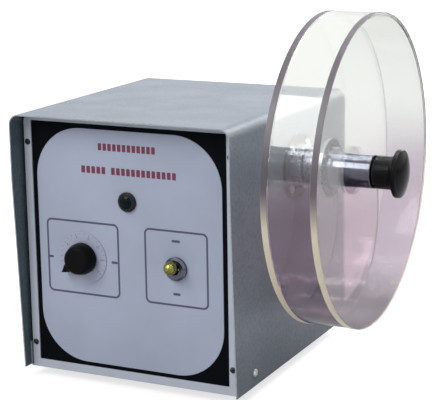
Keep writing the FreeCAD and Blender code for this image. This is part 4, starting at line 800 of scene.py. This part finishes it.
class TESTER_OT_drum(bpy.types.Operator):
    """Make the clear drum: two discs, the rim between them and the lifting vane"""
    bl_idname = "tester.drum"
    bl_label = "Drum"

    def execute(self, context):
        look = context.scene.tester_drum
        # Painted shade on the discs and the rim, darker and mauve towards the bottom
        clear = clear_acrylic("clear_acrylic", look, look.tint_top, look.acrylic_foot, look.acrylic_low)
        shaded_rim = clear_acrylic("rim_acrylic", look, look.rim_tint_top, look.rim_foot, look.rim_low)
        sawn = sawn_acrylic(look)
        for node, name, body, bore in (("drum_back", "back_disc", "drum", look.back_bore),
                                       ("drum_cover", "lid_disc", "drum_lid", look.lid_bore)):
            low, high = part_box(node)
            section = ring_section(bore, (high.z - low.z) / 2 - look.slack, low.x, high.x, look.edge)
            disc = lathe(name, section, look.steps)
            settle(disc, body, "clear_acrylic", clear, sawn, replaced=(node,), angle=DRUM_SMOOTH)
            mark_edges(disc)
        low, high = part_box("drum_rim")
        outer = (high.z - low.z) / 2 - look.slack
        section = ring_section(outer - look.rim_wall, outer, low.x + look.joint, high.x - look.joint,
                               look.edge / 2)
        settle(lathe("rim_band", section, look.steps), "drum", "clear_acrylic", shaded_rim,
               replaced=("drum_rim",), angle=DRUM_SMOOTH)
        dressed_copy("drum_baffle", "lifting_vane", "drum", "clear_acrylic", clear, look.edge / 2)
        return {"FINISHED"}


class TESTER_OT_drive(bpy.types.Operator):
    """Finish the hub, the boss, the clamp knob and the drive behind the drum"""
    bl_idname = "tester.drive"
    bl_label = "Drive line"

    def execute(self, context):
        paint(finished("bright_chrome"), "drum_hub")
        paint(finished("turned_aluminium"), "drum_boss", "bearing_housing", "shaft_coupling")
        paint(finished("ground_steel"), "drive_shaft", "motor_shaft", "bearing_outer_rings",
              "bearing_inner_rings", "bearing_balls", "switch_pin", "timer_spindle")
        paint(finished("black_metal"), "wall_ring")
        paint(black_moulding("clamp_knob_black", 0.18, 0.26, 0.09), "clamp_knob")
        paint(finished("polished_brass"), "knob_insert", "inlet_blades")
        paint(finished("cast_aluminium"), "gearhead")
        paint(finished("motor_enamel"), "motor")
        paint(finished("drawn_can"), "motor_capacitor")
        return {"FINISHED"}


class TESTER_OT_fittings(bpy.types.Operator):
    """Finish the fasteners, the drive frame and the fittings of the rear wall"""
    bl_idname = "tester.fittings"
    bl_label = "Fittings"

    def execute(self, context):
        paint(finished("black_metal"), "panel_screws")
        paint(finished("zinc_plate"), "foot_screws", "foot_nuts", "small_nuts", "cover_screws",
              "cover_nuts", "drive_frame", "frame_screws", "frame_nuts", "spacer_ring", "housing_screws",
              "grub_screws", "gear_screws", "timer_nut", "inlet_screws", "capacitor_clip")
        paint(black_moulding("fitting_black", 0.35, 0.5), "mains_inlet", "fuse_holder", "fuse_nut",
              "fuse_cap")
        paint(finished("white_moulding"), "terminal_strip")
        paint(finished("fuse_glass"), "fuse_link")
        return {"FINISHED"}


# Side of the floor, and the distances from the tester's middle between which its glow grows to full
# white, in metres
FLOOR_SIZE = 40.0
GLOW_NEAR = 0.3
GLOW_FAR = 1.1

# Square lamps: name, place and side in metres, power in watts
LAMPS = (
    ("key", (-0.9, -1.7, 1.8), 1.5, 41.0),
    ("overhead", (0.45, 0.35, 1.6), 1.1, 40.0),
    ("back", (0.5, 2.4, 1.1), 1.2, 22.0),
)


class TESTER_OT_studio(bpy.types.Operator):
    """Set the floor, the world, the lamps and the camera"""
    bl_idname = "tester.studio"
    bl_label = "Studio"

    def execute(self, context):
        look = context.scene.tester_studio
        self.make_floor(look)
        self.make_world(context, look)
        target = Vector((0, 0, look.target_height))
        for name, place, size, power in LAMPS:
            self.make_lamp(name, Vector(place), target, size, power)
        self.make_camera(context, look)
        context.scene.view_settings.view_transform = "Standard"
        return {"FINISHED"}

    def make_floor(self, look):
        deselect()
        bpy.ops.mesh.primitive_plane_add(size=FLOOR_SIZE, location=(0, 0, 0))
        floor = named("floor")
        finish = Finish("floor_white", look.floor, 0.0, 0.9, Specular_IOR_Level=0.0)
        nodes, links = finish.nodes, finish.links
        away = nodes.new("ShaderNodeVectorMath")
        away.operation = "LENGTH"
        links.new(finish.place, away.inputs[0])
        glow = nodes.new("ShaderNodeMath")
        glow.operation = "MULTIPLY"
        level = finish.between(away.outputs["Value"], look.floor_glow, 1.0, GLOW_NEAR, GLOW_FAR)
        links.new(level, glow.inputs[0])
        rays = nodes.new("ShaderNodeLightPath")
        links.new(rays.outputs["Is Camera Ray"], glow.inputs[1])
        finish.shader.inputs["Emission Color"].default_value = (1, 1, 1, 1)
        links.new(glow.outputs[0], finish.shader.inputs["Emission Strength"])
        white = nodes.new("ShaderNodeEmission")
        either = nodes.new("ShaderNodeMixShader")
        links.new(rays.outputs["Is Transmission Ray"], either.inputs[0])
        links.new(finish.shader.outputs[0], either.inputs[1])
        links.new(white.outputs[0], either.inputs[2])
        links.new(either.outputs[0], nodes["Material Output"].inputs["Surface"])
        floor.data.materials.append(finish.material)

    def make_world(self, context, look):
        world = bpy.data.worlds.new("studio")
        context.scene.world = world
        world.use_nodes = True
        nodes = world.node_tree.nodes
        links = world.node_tree.links
        background = nodes["Background"]
        background.inputs["Color"].default_value = (1, 1, 1, 1)
        rays = nodes.new("ShaderNodeLightPath")
        seen = rays.outputs["Is Camera Ray"]
        for kind in ("Is Glossy Ray", "Is Transmission Ray"):
            either = nodes.new("ShaderNodeMath")
            either.operation = "MAXIMUM"
            links.new(seen, either.inputs[0])
            links.new(rays.outputs[kind], either.inputs[1])
            seen = either.outputs[0]
        level = nodes.new("ShaderNodeMapRange")
        level.inputs["To Min"].default_value = look.ambient
        level.inputs["To Max"].default_value = 1.0
        links.new(seen, level.inputs["Value"])
        links.new(level.outputs["Result"], background.inputs["Strength"])

    def make_lamp(self, name, place, target, size, power):
        deselect()
        bpy.ops.object.light_add(type="AREA", location=place)
        lamp = bpy.context.object
        lamp.name = name
        lamp.data.size = size
        lamp.data.energy = power
        lamp.rotation_mode = "QUATERNION"
        lamp.rotation_quaternion = (target - place).to_track_quat("-Z", "Y")

    def make_camera(self, context, look):
        deselect()
        bpy.ops.object.camera_add()
        camera = bpy.context.object
        camera.data.lens = look.lens
        turn = (Matrix.Rotation(look.azimuth, 4, "Z")
                @ Matrix.Rotation(math.pi / 2 - look.elevation, 4, "X")
                @ Matrix.Rotation(look.roll, 4, "Z"))
        camera.matrix_world = Matrix.Translation(Vector(look.camera_place)) @ turn
        context.scene.camera = camera


OPERATORS = (TESTER_OT_cabinet, TESTER_OT_print, TESTER_OT_dial, TESTER_OT_controls, TESTER_OT_drum,
             TESTER_OT_drive, TESTER_OT_fittings, TESTER_OT_studio)
LOOKS = (("tester_cabinet", CabinetLook), ("tester_print", PrintLook), ("tester_drum", DrumLook),
         ("tester_studio", StudioLook))


class TESTER_PT_panel(bpy.types.Panel):
    """Steps that dress the tester, in order"""
    bl_idname = "TESTER_PT_panel"
    bl_label = "Friability tester"
    bl_space_type = "VIEW_3D"
    bl_region_type = "UI"
    bl_category = "Tester"

    def draw(self, context):
        for operator in OPERATORS:
            self.layout.operator(operator.bl_idname)
        for name, group in LOOKS:
            box = self.layout.box()
            for field in group.__annotations__:
                box.prop(getattr(context.scene, name), field)


def register():
    for name, group in LOOKS:
        bpy.utils.register_class(group)
        setattr(bpy.types.Scene, name, PointerProperty(type=group))
    for operator in OPERATORS:
        bpy.utils.register_class(operator)
    bpy.utils.register_class(TESTER_PT_panel)


def unregister():
    bpy.utils.unregister_class(TESTER_PT_panel)
    for operator in reversed(OPERATORS):
        bpy.utils.unregister_class(operator)
    for name, group in reversed(LOOKS):
        delattr(bpy.types.Scene, name)
        bpy.utils.unregister_class(group)


def main():
    register()
    for operator in OPERATORS:
        step = operator.bl_idname.split(".")[1]
        if getattr(bpy.ops.tester, step)() != {"FINISHED"}:
            raise RuntimeError(f"{operator.bl_label} did not finish")
    deselect()


if __name__ == "__main__":
    main()
